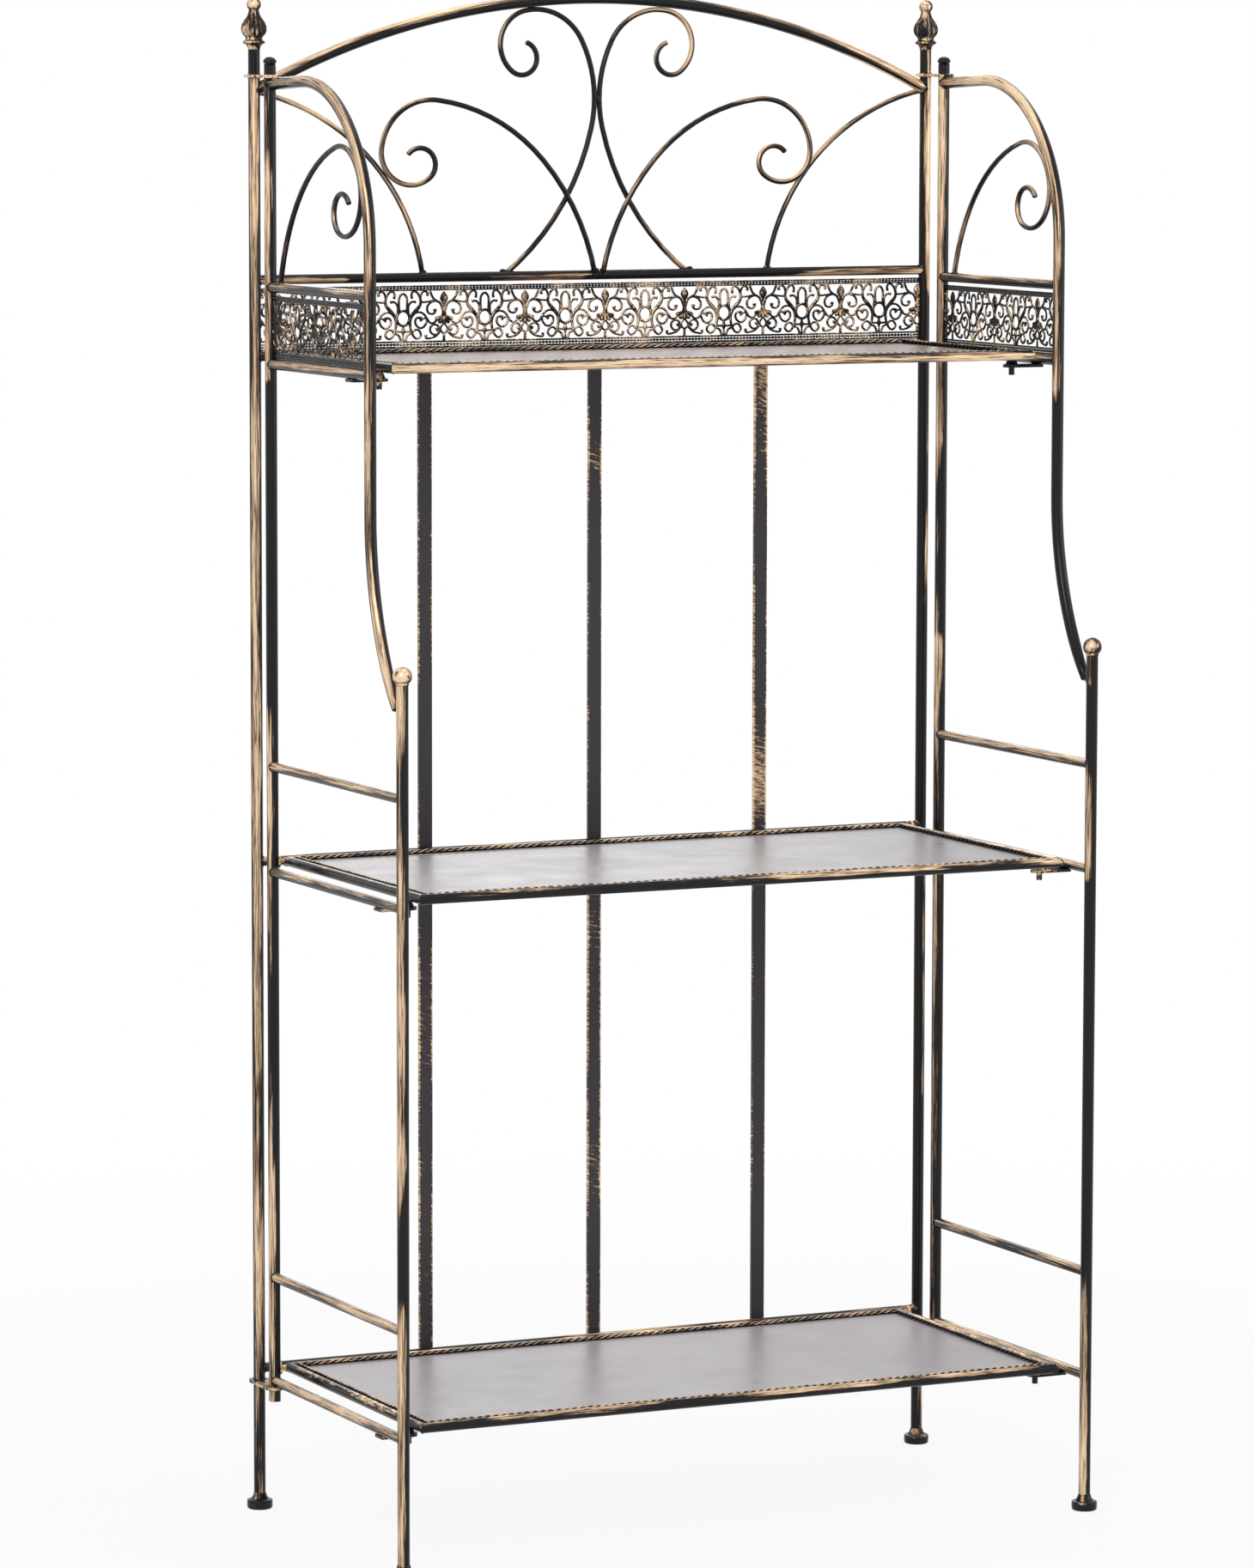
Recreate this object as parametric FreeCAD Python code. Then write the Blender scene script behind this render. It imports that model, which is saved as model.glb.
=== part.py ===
import FreeCAD, Part
import math
import os

# A folding bakers rack in welded steel tube. The back frame stands on two posts. A side frame hangs
# on each end of it by an upright that turns in two hinge plates, and three shelves hinge along the
# back and drop their pins into tabs on the side frames, which locks the rack open.
#
# Frame: X across the rack, Y towards the back, Z up. The origin is on the floor, half way between the
# posts in both directions. Millimetres throughout.

Vector = FreeCAD.Vector
acrossWidth = Vector(1, 0, 0)
acrossDepth = Vector(0, 1, 0)

# Plan of the posts
postSpacing = 762.0
frameDepth = 366.0
hingeOffset = 41.0
halfWidth = postSpacing / 2
backY = frameDepth / 2
frontY = -frameDepth / 2
uprightY = backY - hingeOffset
sideReach = uprightY - frontY

# Tube, rod and plate stock
tubeRadius = 6.0
tubeWall = 1.2
railRadius = 5.0
railWall = 1.0
rodRadius = 2.75
rodSideCount = 8
tubeSideCount = 12
plateThickness = 3.0
sheetThickness = 1.0
filigreeThickness = 2.5

# Heights of the back frame's rails. Each shelf turns level with one of them, and the side frames'
# rails lie lower by the height of the drop pins' collars.
shelfHeights = {"top": 1180.0, "middle": 668.0, "bottom": 146.0}
sideRailDrop = 6.0
guardRise = 101.0

# Pierced filigree band, which stands on the top rail and stops short of the upper rail
bandHeight = 64.0
bandGap = 3.0
bandStrip = 7.0
bandPeriod = 91.0
ringRadius = 11.0
ringWidth = 3.0
ringSideCount = 10
crescentRadius = 9.5
stemWidth = 4.0
linkWidth = 3.0
upperRailHeight = shelfHeights["top"] + bandHeight + bandGap + 2 * railRadius

# Arch over the back, between the posts
archFootRise = 189.0
archRise = 94.0
archEndHeight = upperRailHeight + archFootRise

# Hinge plates and the upright that turns in them
plateTopRise = 15.0
plateBottomDrop = 13.0
plateEndRadius = 10.5
hingeClearance = 0.06
uprightTopRise = 11.0
uprightTail = 14.0
plateTopHeight = archEndHeight + plateTopRise
plateBottomHeight = shelfHeights["bottom"] - plateBottomDrop
uprightTop = plateTopHeight + uprightTopRise
uprightBottom = plateBottomHeight - uprightTail

# Turned fittings
bulbShoulder = 0.42
footRadius = 13.2
footHeight = 10.0
footEdge = 1.6
footCone = 3.0
spigotLength = 9.0
finialRise = 32.0
finialBase = plateTopHeight + finialRise
collarRadius = 10.4
collarHeight = 5.0
bulbRadius = 12.9
bulbHeight = 23.5
bulbSeat = 2.5
finialNeckRadius = 3.6
finialNeckHeight = 2.5
finialBallRadius = 6.9
capRadius = 7.6
capSkirt = 11.0
capSeat = 0.5
capDome = 6.5
frontPostRise = 112.0
frontPostTop = shelfHeights["middle"] + guardRise + frontPostRise
knobRadius = 9.3
knobCollar = 7.4
knobCollarHeight = 2.0

# Swan-neck tube of each side frame: out from the upright, over, down, and forward to the front post,
# where it ends neckToeSet short of the post's axis and neckToeDrop below its top
neckDrop = 8.0
neckHeight = plateTopHeight - neckDrop
neckRise = 2.5
neckRun = 82.0
neckTopBend = 160.0
neckToeBend = 300.0
neckToeSet = 6.25
neckToeDrop = 35.0

# Scrolls of bent rod, each a list of bends by radius and turn. The central and corner scrolls lie
# behind the big ones and touch them, and the last bend of each is as large as lands it on the rail.
rearScrollSet = 2.0
frontScrollSet = 2 * rodRadius - rearScrollSet
centreUpBends = [(130.0, 27.0), (58.0, 76.0), (35.0, 129.0), (17.0, 199.0)]
centreDownBends = [(130.0, -13.0)]
centreFootTurn = -41.0
largeStart = 4.2
largeHeading = 101.0
largeBends = [(246.0, 31.0), (191.0, 41.0), (55.5, 91.0), (33.0, 134.0), (17.0, 192.0)]
cornerHeading = -11.0
cornerBends = [(245.0, -25.0)]
cornerFootTurn = -46.0
sideScrollHeading = 77.3
sideScrollBends = [(189.0, -63.6), (52.0, -82.3), (40.0, -132.0), (20.0, -216.0)]

# Slats up the back
slatSpacing = 192.0
slatWidth = 15.0
slatThickness = 3.0
slatOverlap = 4.0

# Shelves
shelfSideGap = 29.0
shelfAxisGap = 11.0
shelfFrontGap = 18.0
topShelfGap = 9.0
ropeRadius = 2.5
sheetRise = 1.2
rimDrop = 0.5
rimGap = 0.3
shelfHalfWidth = halfWidth - shelfSideGap
shelfAxisY = backY - shelfAxisGap

# Drop pins under the shelves and the tabs they stand in
pinRadius = 3.0
pinSetback = 36.0
pinLength = 11.0
pinCollarTop = 4.0
pinCollarRadius = 6.5
pinSeatGap = 0.2
tabHoleClearance = 1.6
tabEndRadius = 9.0

# Pivot pins at the back corners of the shelves and the lugs that carry them
pivotPinLength = 9.5
pivotClearance = 0.06
lugRadius = 6.5
lugOffset = 11.5

sideRailHeights = {name: height - sideRailDrop for name, height in shelfHeights.items()}
sideUpperRail = upperRailHeight - sideRailDrop


def rod(start, end, radius):
    """Solid round bar between two points."""
    run = end - start
    return Part.makeCylinder(radius, run.Length, start, run)


def tube(start, end, radius, wall):
    """Round tube between two points, open at both ends."""
    return rod(start, end, radius).cut(rod(start, end, radius - wall))


def box(low, high):
    """Block with its edges along the axes, from its low corner to its high corner."""
    size = high - low
    return Part.makeBox(size.x, size.y, size.z, low)


def coped(piece, *hosts):
    """A piece with its ends cut to fit the outside of the pieces it is welded to."""
    for host in hosts:
        piece = piece.cut(host)
    return max(piece.Solids, key=lambda solid: solid.Volume)


def mirrored(shape):
    """The same piece on the other side of the rack."""
    return shape.mirror(Vector(0, 0, 0), Vector(1, 0, 0))


def pair(shape):
    """A piece and its mirror image, as two solids."""
    return Part.makeCompound([shape, mirrored(shape)])


def turned(profile, centre):
    """Solid turned about a vertical axis. The profile runs from the axis out and back to it."""
    face = Part.Face(Part.Wire(profile))
    solid = face.revolve(Vector(0, 0, 0), Vector(0, 0, 1), 360)
    solid.translate(centre)
    return solid


def line(a, b):
    """Straight edge between two (radius, height) points of a turned profile."""
    return Part.makeLine(Vector(a[0], 0, a[1]), Vector(b[0], 0, b[1]))


def arc(a, middle, b):
    """Arc through three (radius, height) points of a turned profile."""
    points = [Vector(p[0], 0, p[1]) for p in (a, middle, b)]
    return Part.Arc(*points).toShape()


def walk(start, heading, runs):
    """Follows straight runs and tangent bends in a plane, and gives each one's three points.

    heading is in degrees from the plane's first axis, and each run is (radius, turn): a positive turn
    is anticlockwise, and a radius of None makes a straight run as long as its second value. Each step
    is the run's first, middle and last points and the heading at its end.
    """
    u, v = start
    angle = math.radians(heading)
    for radius, amount in runs:
        if radius is None:
            stops = [(u + share * amount * math.cos(angle), v + share * amount * math.sin(angle))
                     for share in (0.0, 0.5, 1.0)]
        else:
            turn = math.radians(amount)
            side = math.copysign(radius, amount)
            cu, cv = u - side * math.sin(angle), v + side * math.cos(angle)
            stops = [(cu + side * math.sin(angle + turn * share), cv - side * math.cos(angle + turn * share))
                     for share in (0.0, 0.5, 1.0)]
            angle += turn
        u, v = stops[-1]
        yield radius, stops, math.degrees(angle)


def bentPath(start, heading, runs, place):
    """Edges of a bent path. place puts a point of its plane in the rack's frame."""
    edges = []
    for radius, stops, _ in walk(start, heading, runs):
        points = [place(*stop) for stop in stops]
        if radius is None:
            edges.append(Part.makeLine(points[0], points[2]))
        else:
            edges.append(Part.Arc(*points).toShape())
    return edges


def pathEnd(start, heading, runs):
    """Last point of a bent path, in its own plane, and the heading there in degrees."""
    _, stops, angle = list(walk(start, heading, runs))[-1]
    return stops[-1], angle


def landed(start, heading, bends, lastTurn, height):
    """The bends and one more, with the radius that ends the path at a height of its plane."""
    (_, stop), angle = pathEnd(start, heading, bends)
    (_, unitRise), _ = pathEnd((0.0, 0.0), angle, [(1.0, lastTurn)])
    return bends + [((height - stop) / unitRise, lastTurn)]


def sweptRun(edge, radius, flats, normal):
    """One straight run or bend of a bar with flat sides, the distance across which is the diameter."""
    start = edge.valueAt(edge.FirstParameter)
    along = edge.tangentAt(edge.FirstParameter)
    across = along.cross(normal) * (radius / math.cos(math.pi / flats))
    upward = normal * across.Length
    corners = [start + across * math.cos(angle) + upward * math.sin(angle)
               for angle in (math.pi * (2 * index + 1) / flats for index in range(flats))]
    section = Part.Face(Part.makePolygon(corners + corners[:1]))
    if edge.Curve.TypeId == "Part::GeomLine":
        return section.extrude(along * edge.Length)
    turn = math.degrees(edge.LastParameter - edge.FirstParameter)
    return section.revolve(edge.Curve.Center, edge.Curve.Axis, turn)


def swept(path, radius, flats, normal):
    """Bar with flat sides along a bent path whose plane has the given normal."""
    runs = [sweptRun(edge, radius, flats, normal) for edge in path]
    return runs[0].multiFuse(runs[1:]) if len(runs) > 1 else runs[0]


def bentTube(path, normal):
    """Tube of the posts' size along a bent path."""
    outer = swept(path, tubeRadius, tubeSideCount, normal)
    return outer.cut(swept(path, tubeRadius - tubeWall, tubeSideCount, normal))


def bentRod(path, normal):
    """Scroll rod along a bent path."""
    return swept(path, rodRadius, rodSideCount, normal)


def onSide(reach, height):
    """Point of the left side frame's plane, by its distance forward of the upright."""
    return Vector(-halfWidth, uprightY - reach, height)


# Solid outlines of the members that other pieces are welded to
backPostCore = rod(Vector(-halfWidth, backY, footHeight), Vector(-halfWidth, backY, finialBase), tubeRadius)
uprightCore = rod(onSide(0, uprightBottom), onSide(0, uprightTop), tubeRadius)
frontPostCore = rod(onSide(sideReach, footHeight), onSide(sideReach, frontPostTop), tubeRadius)


def backRailCore(height):
    return rod(Vector(-halfWidth, backY, height), Vector(halfWidth, backY, height), railRadius)


def backRail(height):
    """Cross rail of the back frame, coped to both posts."""
    rail = tube(Vector(-halfWidth, backY, height), Vector(halfWidth, backY, height), railRadius, railWall)
    return coped(rail, backPostCore, mirrored(backPostCore))


def foot(centre):
    """Disc foot with a spigot that fills the end of its post."""
    inner = tubeRadius - tubeWall
    top = footHeight + spigotLength
    profile = [
        line((0, 0), (footRadius - footEdge, 0)),
        line((footRadius - footEdge, 0), (footRadius, footEdge)),
        line((footRadius, footEdge), (footRadius, footHeight - footCone)),
        line((footRadius, footHeight - footCone), (tubeRadius, footHeight)),
        line((tubeRadius, footHeight), (inner, footHeight)),
        line((inner, footHeight), (inner, top)),
        line((inner, top), (0, top)),
        line((0, top), (0, 0)),
    ]
    return turned(profile, centre)


def finial(centre):
    """Turned finial: spigot, collar, bulb, neck and ball."""
    inner = tubeRadius - tubeWall
    bulbFoot = collarHeight + bulbSeat
    bulbMiddle = bulbFoot + bulbHeight * bulbShoulder
    bulbTop = bulbFoot + bulbHeight
    neckTop = bulbTop + finialNeckHeight
    ballCentre = neckTop + math.sqrt(finialBallRadius ** 2 - finialNeckRadius ** 2)
    ballTop = ballCentre + finialBallRadius
    profile = [
        line((0, -spigotLength), (inner, -spigotLength)),
        line((inner, -spigotLength), (inner, 0)),
        line((inner, 0), (collarRadius, 0)),
        line((collarRadius, 0), (collarRadius, collarHeight)),
        line((collarRadius, collarHeight), (tubeRadius, bulbFoot)),
        arc((tubeRadius, bulbFoot), (bulbRadius, bulbMiddle), (finialNeckRadius, bulbTop)),
        line((finialNeckRadius, bulbTop), (finialNeckRadius, neckTop)),
        arc((finialNeckRadius, neckTop), (finialBallRadius, ballCentre), (0, ballTop)),
        line((0, ballTop), (0, -spigotLength)),
    ]
    return turned(profile, centre)


def postTube(x, y, bottom, top):
    """Round post tube standing on the plan point (x, y)."""
    return tube(Vector(x, y, bottom), Vector(x, y, top), tubeRadius, tubeWall)


# Arch over the back, an arc of one radius between the posts
archRadius = (halfWidth ** 2 + archRise ** 2) / (2 * archRise)
archCentre = archEndHeight + archRise - archRadius


def archPath():
    ends = [Vector(side * halfWidth, backY, archEndHeight) for side in (-1, 1)]
    return [Part.Arc(ends[0], Vector(0, backY, archEndHeight + archRise), ends[1]).toShape()]


def topArch():
    return coped(bentTube(archPath(), acrossDepth), backPostCore, mirrored(backPostCore))


def scrollPlace(depth):
    """Places the points of a scroll in the back frame, at a depth from the posts' plane."""
    return lambda u, v: Vector(u, backY + depth, v)


def centreScroll():
    """Left one of the two that touch each other at the middle and the arch above."""
    first, second = centreUpBends[:2]
    touch, heading = pathEnd((-rodRadius, 0.0), 90.0, [first])
    loopCentreX = touch[0] - second[0] * math.sin(math.radians(heading))
    loopCentreZ = touch[1] + second[0] * math.cos(math.radians(heading))
    gap = math.sqrt((tubeRadius + rodRadius) ** 2 - rearScrollSet ** 2)
    reach = archRadius - gap - second[0]
    touchHeight = archCentre + math.sqrt(reach ** 2 - loopCentreX ** 2) - loopCentreZ
    place = scrollPlace(rearScrollSet)
    start = (-rodRadius, touchHeight)
    up = bentPath(start, 90.0, centreUpBends, place)
    downBends = landed(start, -90.0, centreDownBends, centreFootTurn, upperRailHeight)
    down = bentPath(start, -90.0, downBends, place)
    return coped(bentRod(up + down, acrossDepth), backRailCore(upperRailHeight))


def largeScroll():
    """Left one of the two that rise from the middle of the rail and curl at the far end."""
    path = bentPath((-largeStart, upperRailHeight), largeHeading, largeBends, scrollPlace(-frontScrollSet))
    return coped(bentRod(path, acrossDepth), backRailCore(upperRailHeight))


def cornerScroll():
    """Left one of the two that spring from the posts under the arch's ends."""
    start = (-halfWidth, archEndHeight)
    bends = landed(start, cornerHeading, cornerBends, cornerFootTurn, upperRailHeight)
    path = bentPath(start, cornerHeading, bends, scrollPlace(rearScrollSet))
    arch = swept(archPath(), tubeRadius, tubeSideCount, acrossDepth)
    return coped(bentRod(path, acrossDepth), backPostCore, arch, backRailCore(upperRailHeight))


def bandDisc(x, z, radius):
    """Flat-sided disc of the band's thickness about the point (x, z)."""
    angles = [math.pi * (2 * index + 1) / ringSideCount for index in range(ringSideCount)]
    corners = [Vector(x + radius * math.cos(angle), -filigreeThickness / 2, z + radius * math.sin(angle))
               for angle in angles]
    return Part.Face(Part.makePolygon(corners + corners[:1])).extrude(acrossDepth * filigreeThickness)


def bandRing(x, z, radius, width):
    """Ring of the band about the point (x, z), by its middle radius and the width of its metal."""
    return bandDisc(x, z, radius + width / 2).cut(bandDisc(x, z, radius - width / 2))


def bandBar(x, width, low, high):
    """Bar of the band across x, from one height to another."""
    half = filigreeThickness / 2
    return box(Vector(x - width / 2, -half, low), Vector(x + width / 2, half, high))


def filigree(length, firstStem):
    """Pierced band from x = 0 to its length and z = 0 up, as thick as its plate about y = 0.

    Stems with crescents stand one period apart, the first at firstStem, and a ring stands half way
    between each two.
    """
    middle = bandHeight / 2
    upper = bandHeight - bandStrip
    crescentOffset = stemWidth / 2 + crescentRadius
    pieces = [bandBar(length / 2, length, 0, bandStrip), bandBar(length / 2, length, upper, bandHeight)]
    for index in range(-1, int(length / bandPeriod) + 2):
        stem = firstStem + index * bandPeriod
        ring = stem + bandPeriod / 2
        pieces.append(bandBar(stem, stemWidth, bandStrip, upper))
        pieces.append(bandBar(ring, linkWidth, bandStrip, middle - ringRadius))
        pieces.append(bandRing(ring, middle, ringRadius, ringWidth))
        for offset in (-crescentOffset, crescentOffset):
            pieces.append(bandRing(stem + offset, upper - crescentRadius, crescentRadius, ringWidth))
            pieces.append(bandRing(ring + offset, bandStrip + crescentRadius, crescentRadius, ringWidth))
    whole = pieces[0].multiFuse(pieces[1:]).removeSplitter()
    window = bandBar(length / 2, length, 0, bandHeight)
    return whole.common(window)


def backFiligree():
    length = postSpacing
    band = filigree(length, halfWidth % bandPeriod)
    band.translate(Vector(-halfWidth, backY, shelfHeights["top"] + railRadius))
    return coped(band, backPostCore, mirrored(backPostCore))


def slat(x):
    """Flat upright bar welded behind the three back rails."""
    low = Vector(x - slatWidth / 2, backY + railRadius, shelfHeights["bottom"] - slatOverlap)
    high = Vector(x + slatWidth / 2, backY + railRadius + slatThickness, shelfHeights["top"] + slatOverlap)
    return box(low, high)


def hingePlate(height):
    """Oval plate welded round the back post, with a running hole for the upright."""
    low = height - plateThickness / 2
    posts = [Vector(-halfWidth, y, low) for y in (backY, uprightY)]
    plate = box(posts[1] - Vector(plateEndRadius, 0, 0), posts[0] + Vector(plateEndRadius, 0, plateThickness))
    for post in posts:
        plate = plate.fuse(Part.makeCylinder(plateEndRadius, plateThickness, post))
    plate = plate.removeSplitter().cut(backPostCore)
    return plate.cut(Part.makeCylinder(tubeRadius + hingeClearance, plateThickness, posts[1]))


def pivotLug(height):
    """Lug welded to a back rail, with a running hole for a shelf's left pivot pin."""
    x = -shelfHalfWidth - lugOffset
    start = Vector(x - plateThickness / 2, shelfAxisY, height)
    web = box(start - Vector(0, 0, railRadius), Vector(start.x + plateThickness, backY, height + railRadius))
    lug = Part.makeCylinder(lugRadius, plateThickness, start, acrossWidth).fuse(web).removeSplitter()
    lug = lug.cut(Part.makeCylinder(pinRadius + pivotClearance, plateThickness, start, acrossWidth))
    return lug.cut(backRailCore(height))


# Left side frame
neckPlanRun = [(None, neckRun), (neckTopBend, -90.0 - neckRise)]


def neckPath():
    start = (0.0, neckHeight)
    angle = math.radians(neckRise)
    runEnd = (neckRun * math.cos(angle), neckHeight + neckRun * math.sin(angle))
    (reach, height), heading = pathEnd(runEnd, neckRise, neckPlanRun[1:])
    toeTurn = math.acos(1 - (sideReach - neckToeSet - reach) / neckToeBend)
    toeHeight = frontPostTop - neckToeDrop + neckToeBend * math.sin(toeTurn)
    runs = neckPlanRun + [(None, height - toeHeight), (neckToeBend, math.degrees(toeTurn))]
    return bentPath(start, neckRise, runs, onSide)


def neckReach():
    """Distance from the upright to the straight part of the swan neck."""
    angle = math.radians(neckRise)
    return neckRun * math.cos(angle) + neckTopBend * (1 + math.sin(angle))


neckCore = swept(neckPath(), tubeRadius, tubeSideCount, acrossWidth)


def swanNeck():
    return coped(bentTube(neckPath(), acrossWidth), uprightCore, frontPostCore)


def sideRail(height, reach, host):
    """Rail of the left side frame from its upright to the post or tube at its front."""
    rail = tube(onSide(0, height), onSide(reach, height), railRadius, railWall)
    return coped(rail, uprightCore, host)


def sideFiligree():
    """Band of the left side frame, between its upright and the swan neck."""
    band = filigree(neckReach(), halfWidth % bandPeriod + tubeRadius)
    band.rotate(Vector(0, 0, 0), Vector(0, 0, 1), -90)
    band.translate(onSide(0, sideRailHeights["top"] + railRadius))
    return coped(band, uprightCore, neckCore)


def sideScrollReach():
    """Distance from the upright to the side scroll's foot, where its loop lies against the swan neck."""
    angle = math.radians(neckRise)
    neckCentre = (neckReach() - neckTopBend,
                  neckHeight + neckRun * math.sin(angle) - neckTopBend * math.cos(angle))
    loopRadius = sideScrollBends[2][0]
    (u, v), heading = pathEnd((0.0, sideUpperRail), sideScrollHeading, sideScrollBends[:2])
    loop = (u + loopRadius * math.sin(math.radians(heading)), v - loopRadius * math.cos(math.radians(heading)))
    spacing = neckTopBend - tubeRadius - rodRadius - loopRadius
    return neckCentre[0] - loop[0] + math.sqrt(spacing ** 2 - (loop[1] - neckCentre[1]) ** 2)


def sideScroll():
    """Scroll of the left side frame, set along the rail so that its loop touches the swan neck."""
    path = bentPath((sideScrollReach(), sideUpperRail), sideScrollHeading, sideScrollBends, onSide)
    upperRail = rod(onSide(0, sideUpperRail), onSide(neckReach(), sideUpperRail), railRadius)
    return coped(bentRod(path, acrossWidth), upperRail)


def uprightCap():
    """Domed cap that closes the top of the upright and keeps it in its plates."""
    skirt = plateTopHeight + plateThickness / 2 + capSeat
    shoulder = skirt + capSkirt
    centreDrop = (capRadius ** 2 - capDome ** 2) / (2 * capDome)
    halfway = (capDome + centreDrop) * math.sqrt(0.5)
    profile = [
        line((tubeRadius, skirt), (capRadius, skirt)),
        line((capRadius, skirt), (capRadius, shoulder)),
        arc((capRadius, shoulder), (halfway, shoulder - centreDrop + halfway), (0, shoulder + capDome)),
        line((0, shoulder + capDome), (0, uprightTop)),
        line((0, uprightTop), (tubeRadius, uprightTop)),
        line((tubeRadius, uprightTop), (tubeRadius, skirt)),
    ]
    return turned(profile, onSide(0, 0))


def frontKnob():
    """Ball knob with a collar and a spigot that fills the top of the front post."""
    inner = tubeRadius - tubeWall
    ballFoot = frontPostTop + knobCollarHeight
    ballCentre = ballFoot + math.sqrt(knobRadius ** 2 - tubeRadius ** 2)
    profile = [
        line((0, frontPostTop - spigotLength), (inner, frontPostTop - spigotLength)),
        line((inner, frontPostTop - spigotLength), (inner, frontPostTop)),
        line((inner, frontPostTop), (knobCollar, frontPostTop)),
        line((knobCollar, frontPostTop), (tubeRadius, ballFoot)),
        arc((tubeRadius, ballFoot), (knobRadius, ballCentre), (0, ballCentre + knobRadius)),
        line((0, ballCentre + knobRadius), (0, frontPostTop - spigotLength)),
    ]
    return turned(profile, onSide(sideReach, 0))


def shelfDepth(name):
    """Depth of a shelf from its axis to the middle of its front tube. The top one stops at the swan necks."""
    if name == "top":
        return shelfAxisY - uprightY + neckReach() - topShelfGap
    return shelfAxisY - frontY - shelfFrontGap


def pinPlace(name):
    """Plan point of a shelf's left drop pin."""
    return Vector(-shelfHalfWidth, shelfAxisY - shelfDepth(name) + pinSetback, 0)


def pinTab(name):
    """Tab under a side rail, with a loose hole for a drop pin."""
    top = sideRailHeights[name] - railRadius
    centre = pinPlace(name) + Vector(0, 0, top - plateThickness)
    wide = Vector(0, tabEndRadius, 0)
    root = Vector(-halfWidth - tubeRadius / 2, centre.y, centre.z)
    tab = box(root - wide, centre + wide + Vector(0, 0, plateThickness))
    tab = tab.fuse(Part.makeCylinder(tabEndRadius, plateThickness, centre)).removeSplitter()
    return tab.cut(Part.makeCylinder(pinRadius + tabHoleClearance, plateThickness, centre))


def leftSide():
    """Every piece of the left side frame, by name."""
    height = sideRailHeights
    reach = neckReach()
    guardHeights = [shelfHeights[name] + guardRise for name in ("middle", "bottom")]
    guards = [sideRail(guard, sideReach, frontPostCore) for guard in guardHeights]
    fittings = [uprightCap(), frontKnob(), foot(onSide(sideReach, 0))]
    return {
        "upright": postTube(-halfWidth, uprightY, uprightBottom, uprightTop),
        "swan_neck": swanNeck(),
        "front_post": postTube(-halfWidth, frontY, footHeight, frontPostTop),
        "end_fittings": Part.makeCompound(fittings),
        "upper_rail": sideRail(sideUpperRail, reach, neckCore),
        "filigree": sideFiligree(),
        "rail_top": sideRail(height["top"], reach, neckCore),
        "rail_middle": sideRail(height["middle"], sideReach, frontPostCore),
        "rail_bottom": sideRail(height["bottom"], sideReach, frontPostCore),
        "guard_rails": Part.makeCompound(guards),
        "scroll": sideScroll(),
        "pin_tabs": Part.makeCompound([pinTab(name) for name in shelfHeights]),
    }


def mitredLoop(halfX, rearY, frontEdgeY, height, radius, wall):
    """Four lengths of round tube, or of bar if the wall is None, mitred into a level rectangle."""
    corners = [Vector(x, y, height) for x, y in
               ((-halfX, rearY), (-halfX, frontEdgeY), (halfX, frontEdgeY), (halfX, rearY))]
    sides = []
    for index, corner in enumerate(corners):
        after = corners[(index + 1) % 4]
        along = (after - corner).normalize() * radius
        inward = Vector(0, 0, 1).cross(along)
        start, end = corner - along, after + along
        side = rod(start, end, radius) if wall is None else tube(start, end, radius, wall)
        outline = [start - inward, end - inward, after - along + inward, corner + along + inward]
        outline = [point - Vector(0, 0, radius) for point in outline]
        wedge = Part.Face(Part.makePolygon(outline + outline[:1])).extrude(Vector(0, 0, 2 * radius))
        sides.append(side.common(wedge))
    return sides


def sheetPlate(name, edge, top):
    """Level plate of the sheet's thickness, its edges set in from the axes of the shelf's tubes."""
    low = Vector(-shelfHalfWidth + edge, shelfAxisY - shelfDepth(name) + edge, top - sheetThickness)
    high = Vector(shelfHalfWidth - edge, shelfAxisY - edge, top)
    return box(low, high)


def shelfSheet(name, panelEdge):
    """Sheet of a shelf, its rim pressed down to pass under the rope trim and meet the tubes."""
    top = shelfHeights[name] + sheetRise
    rim = sheetPlate(name, railRadius, top - rimDrop)
    rim = rim.cut(sheetPlate(name, panelEdge + sheetThickness, top - rimDrop))
    return sheetPlate(name, panelEdge, top).fuse(rim)


def shelf(name):
    """Every piece of one shelf, by name."""
    height = shelfHeights[name]
    frontTubeY = shelfAxisY - shelfDepth(name)
    frame = mitredLoop(shelfHalfWidth, shelfAxisY, frontTubeY, height, railRadius, railWall)
    ropeHeight = height + sheetRise - rimDrop + ropeRadius
    inset = math.sqrt((railRadius + ropeRadius) ** 2 - (ropeHeight - height) ** 2)
    rope = mitredLoop(shelfHalfWidth - inset, shelfAxisY - inset, frontTubeY + inset, ropeHeight, ropeRadius, None)
    return {
        "frame": Part.makeCompound(frame),
        "sheet": shelfSheet(name, inset + ropeRadius + rimGap),
        "rope": rope[0].multiFuse(rope[1:]).removeSplitter(),
        "drop_pins": pair(dropPin(name)),
        "pivot_pins": pair(pivotPin(name)),
    }


def dropPin(name):
    """Left drop pin of a shelf: a collar flared from the tube down to its seat, and the stud below."""
    height = shelfHeights[name]
    seat = sideRailHeights[name] - railRadius + pinSeatGap
    tip = seat - pinLength
    profile = [
        line((0, tip), (pinRadius, tip)),
        line((pinRadius, tip), (pinRadius, seat)),
        line((pinRadius, seat), (pinCollarRadius, seat)),
        line((pinCollarRadius, seat), (pinCollarTop, height - railRadius)),
        line((pinCollarTop, height - railRadius), (pinCollarTop, height)),
        line((pinCollarTop, height), (0, height)),
        line((0, height), (0, tip)),
    ]
    place = pinPlace(name)
    side = Vector(place.x, shelfAxisY, height), Vector(place.x, place.y - pinSetback, height)
    return coped(turned(profile, place), rod(side[0], side[1], railRadius))


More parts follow.
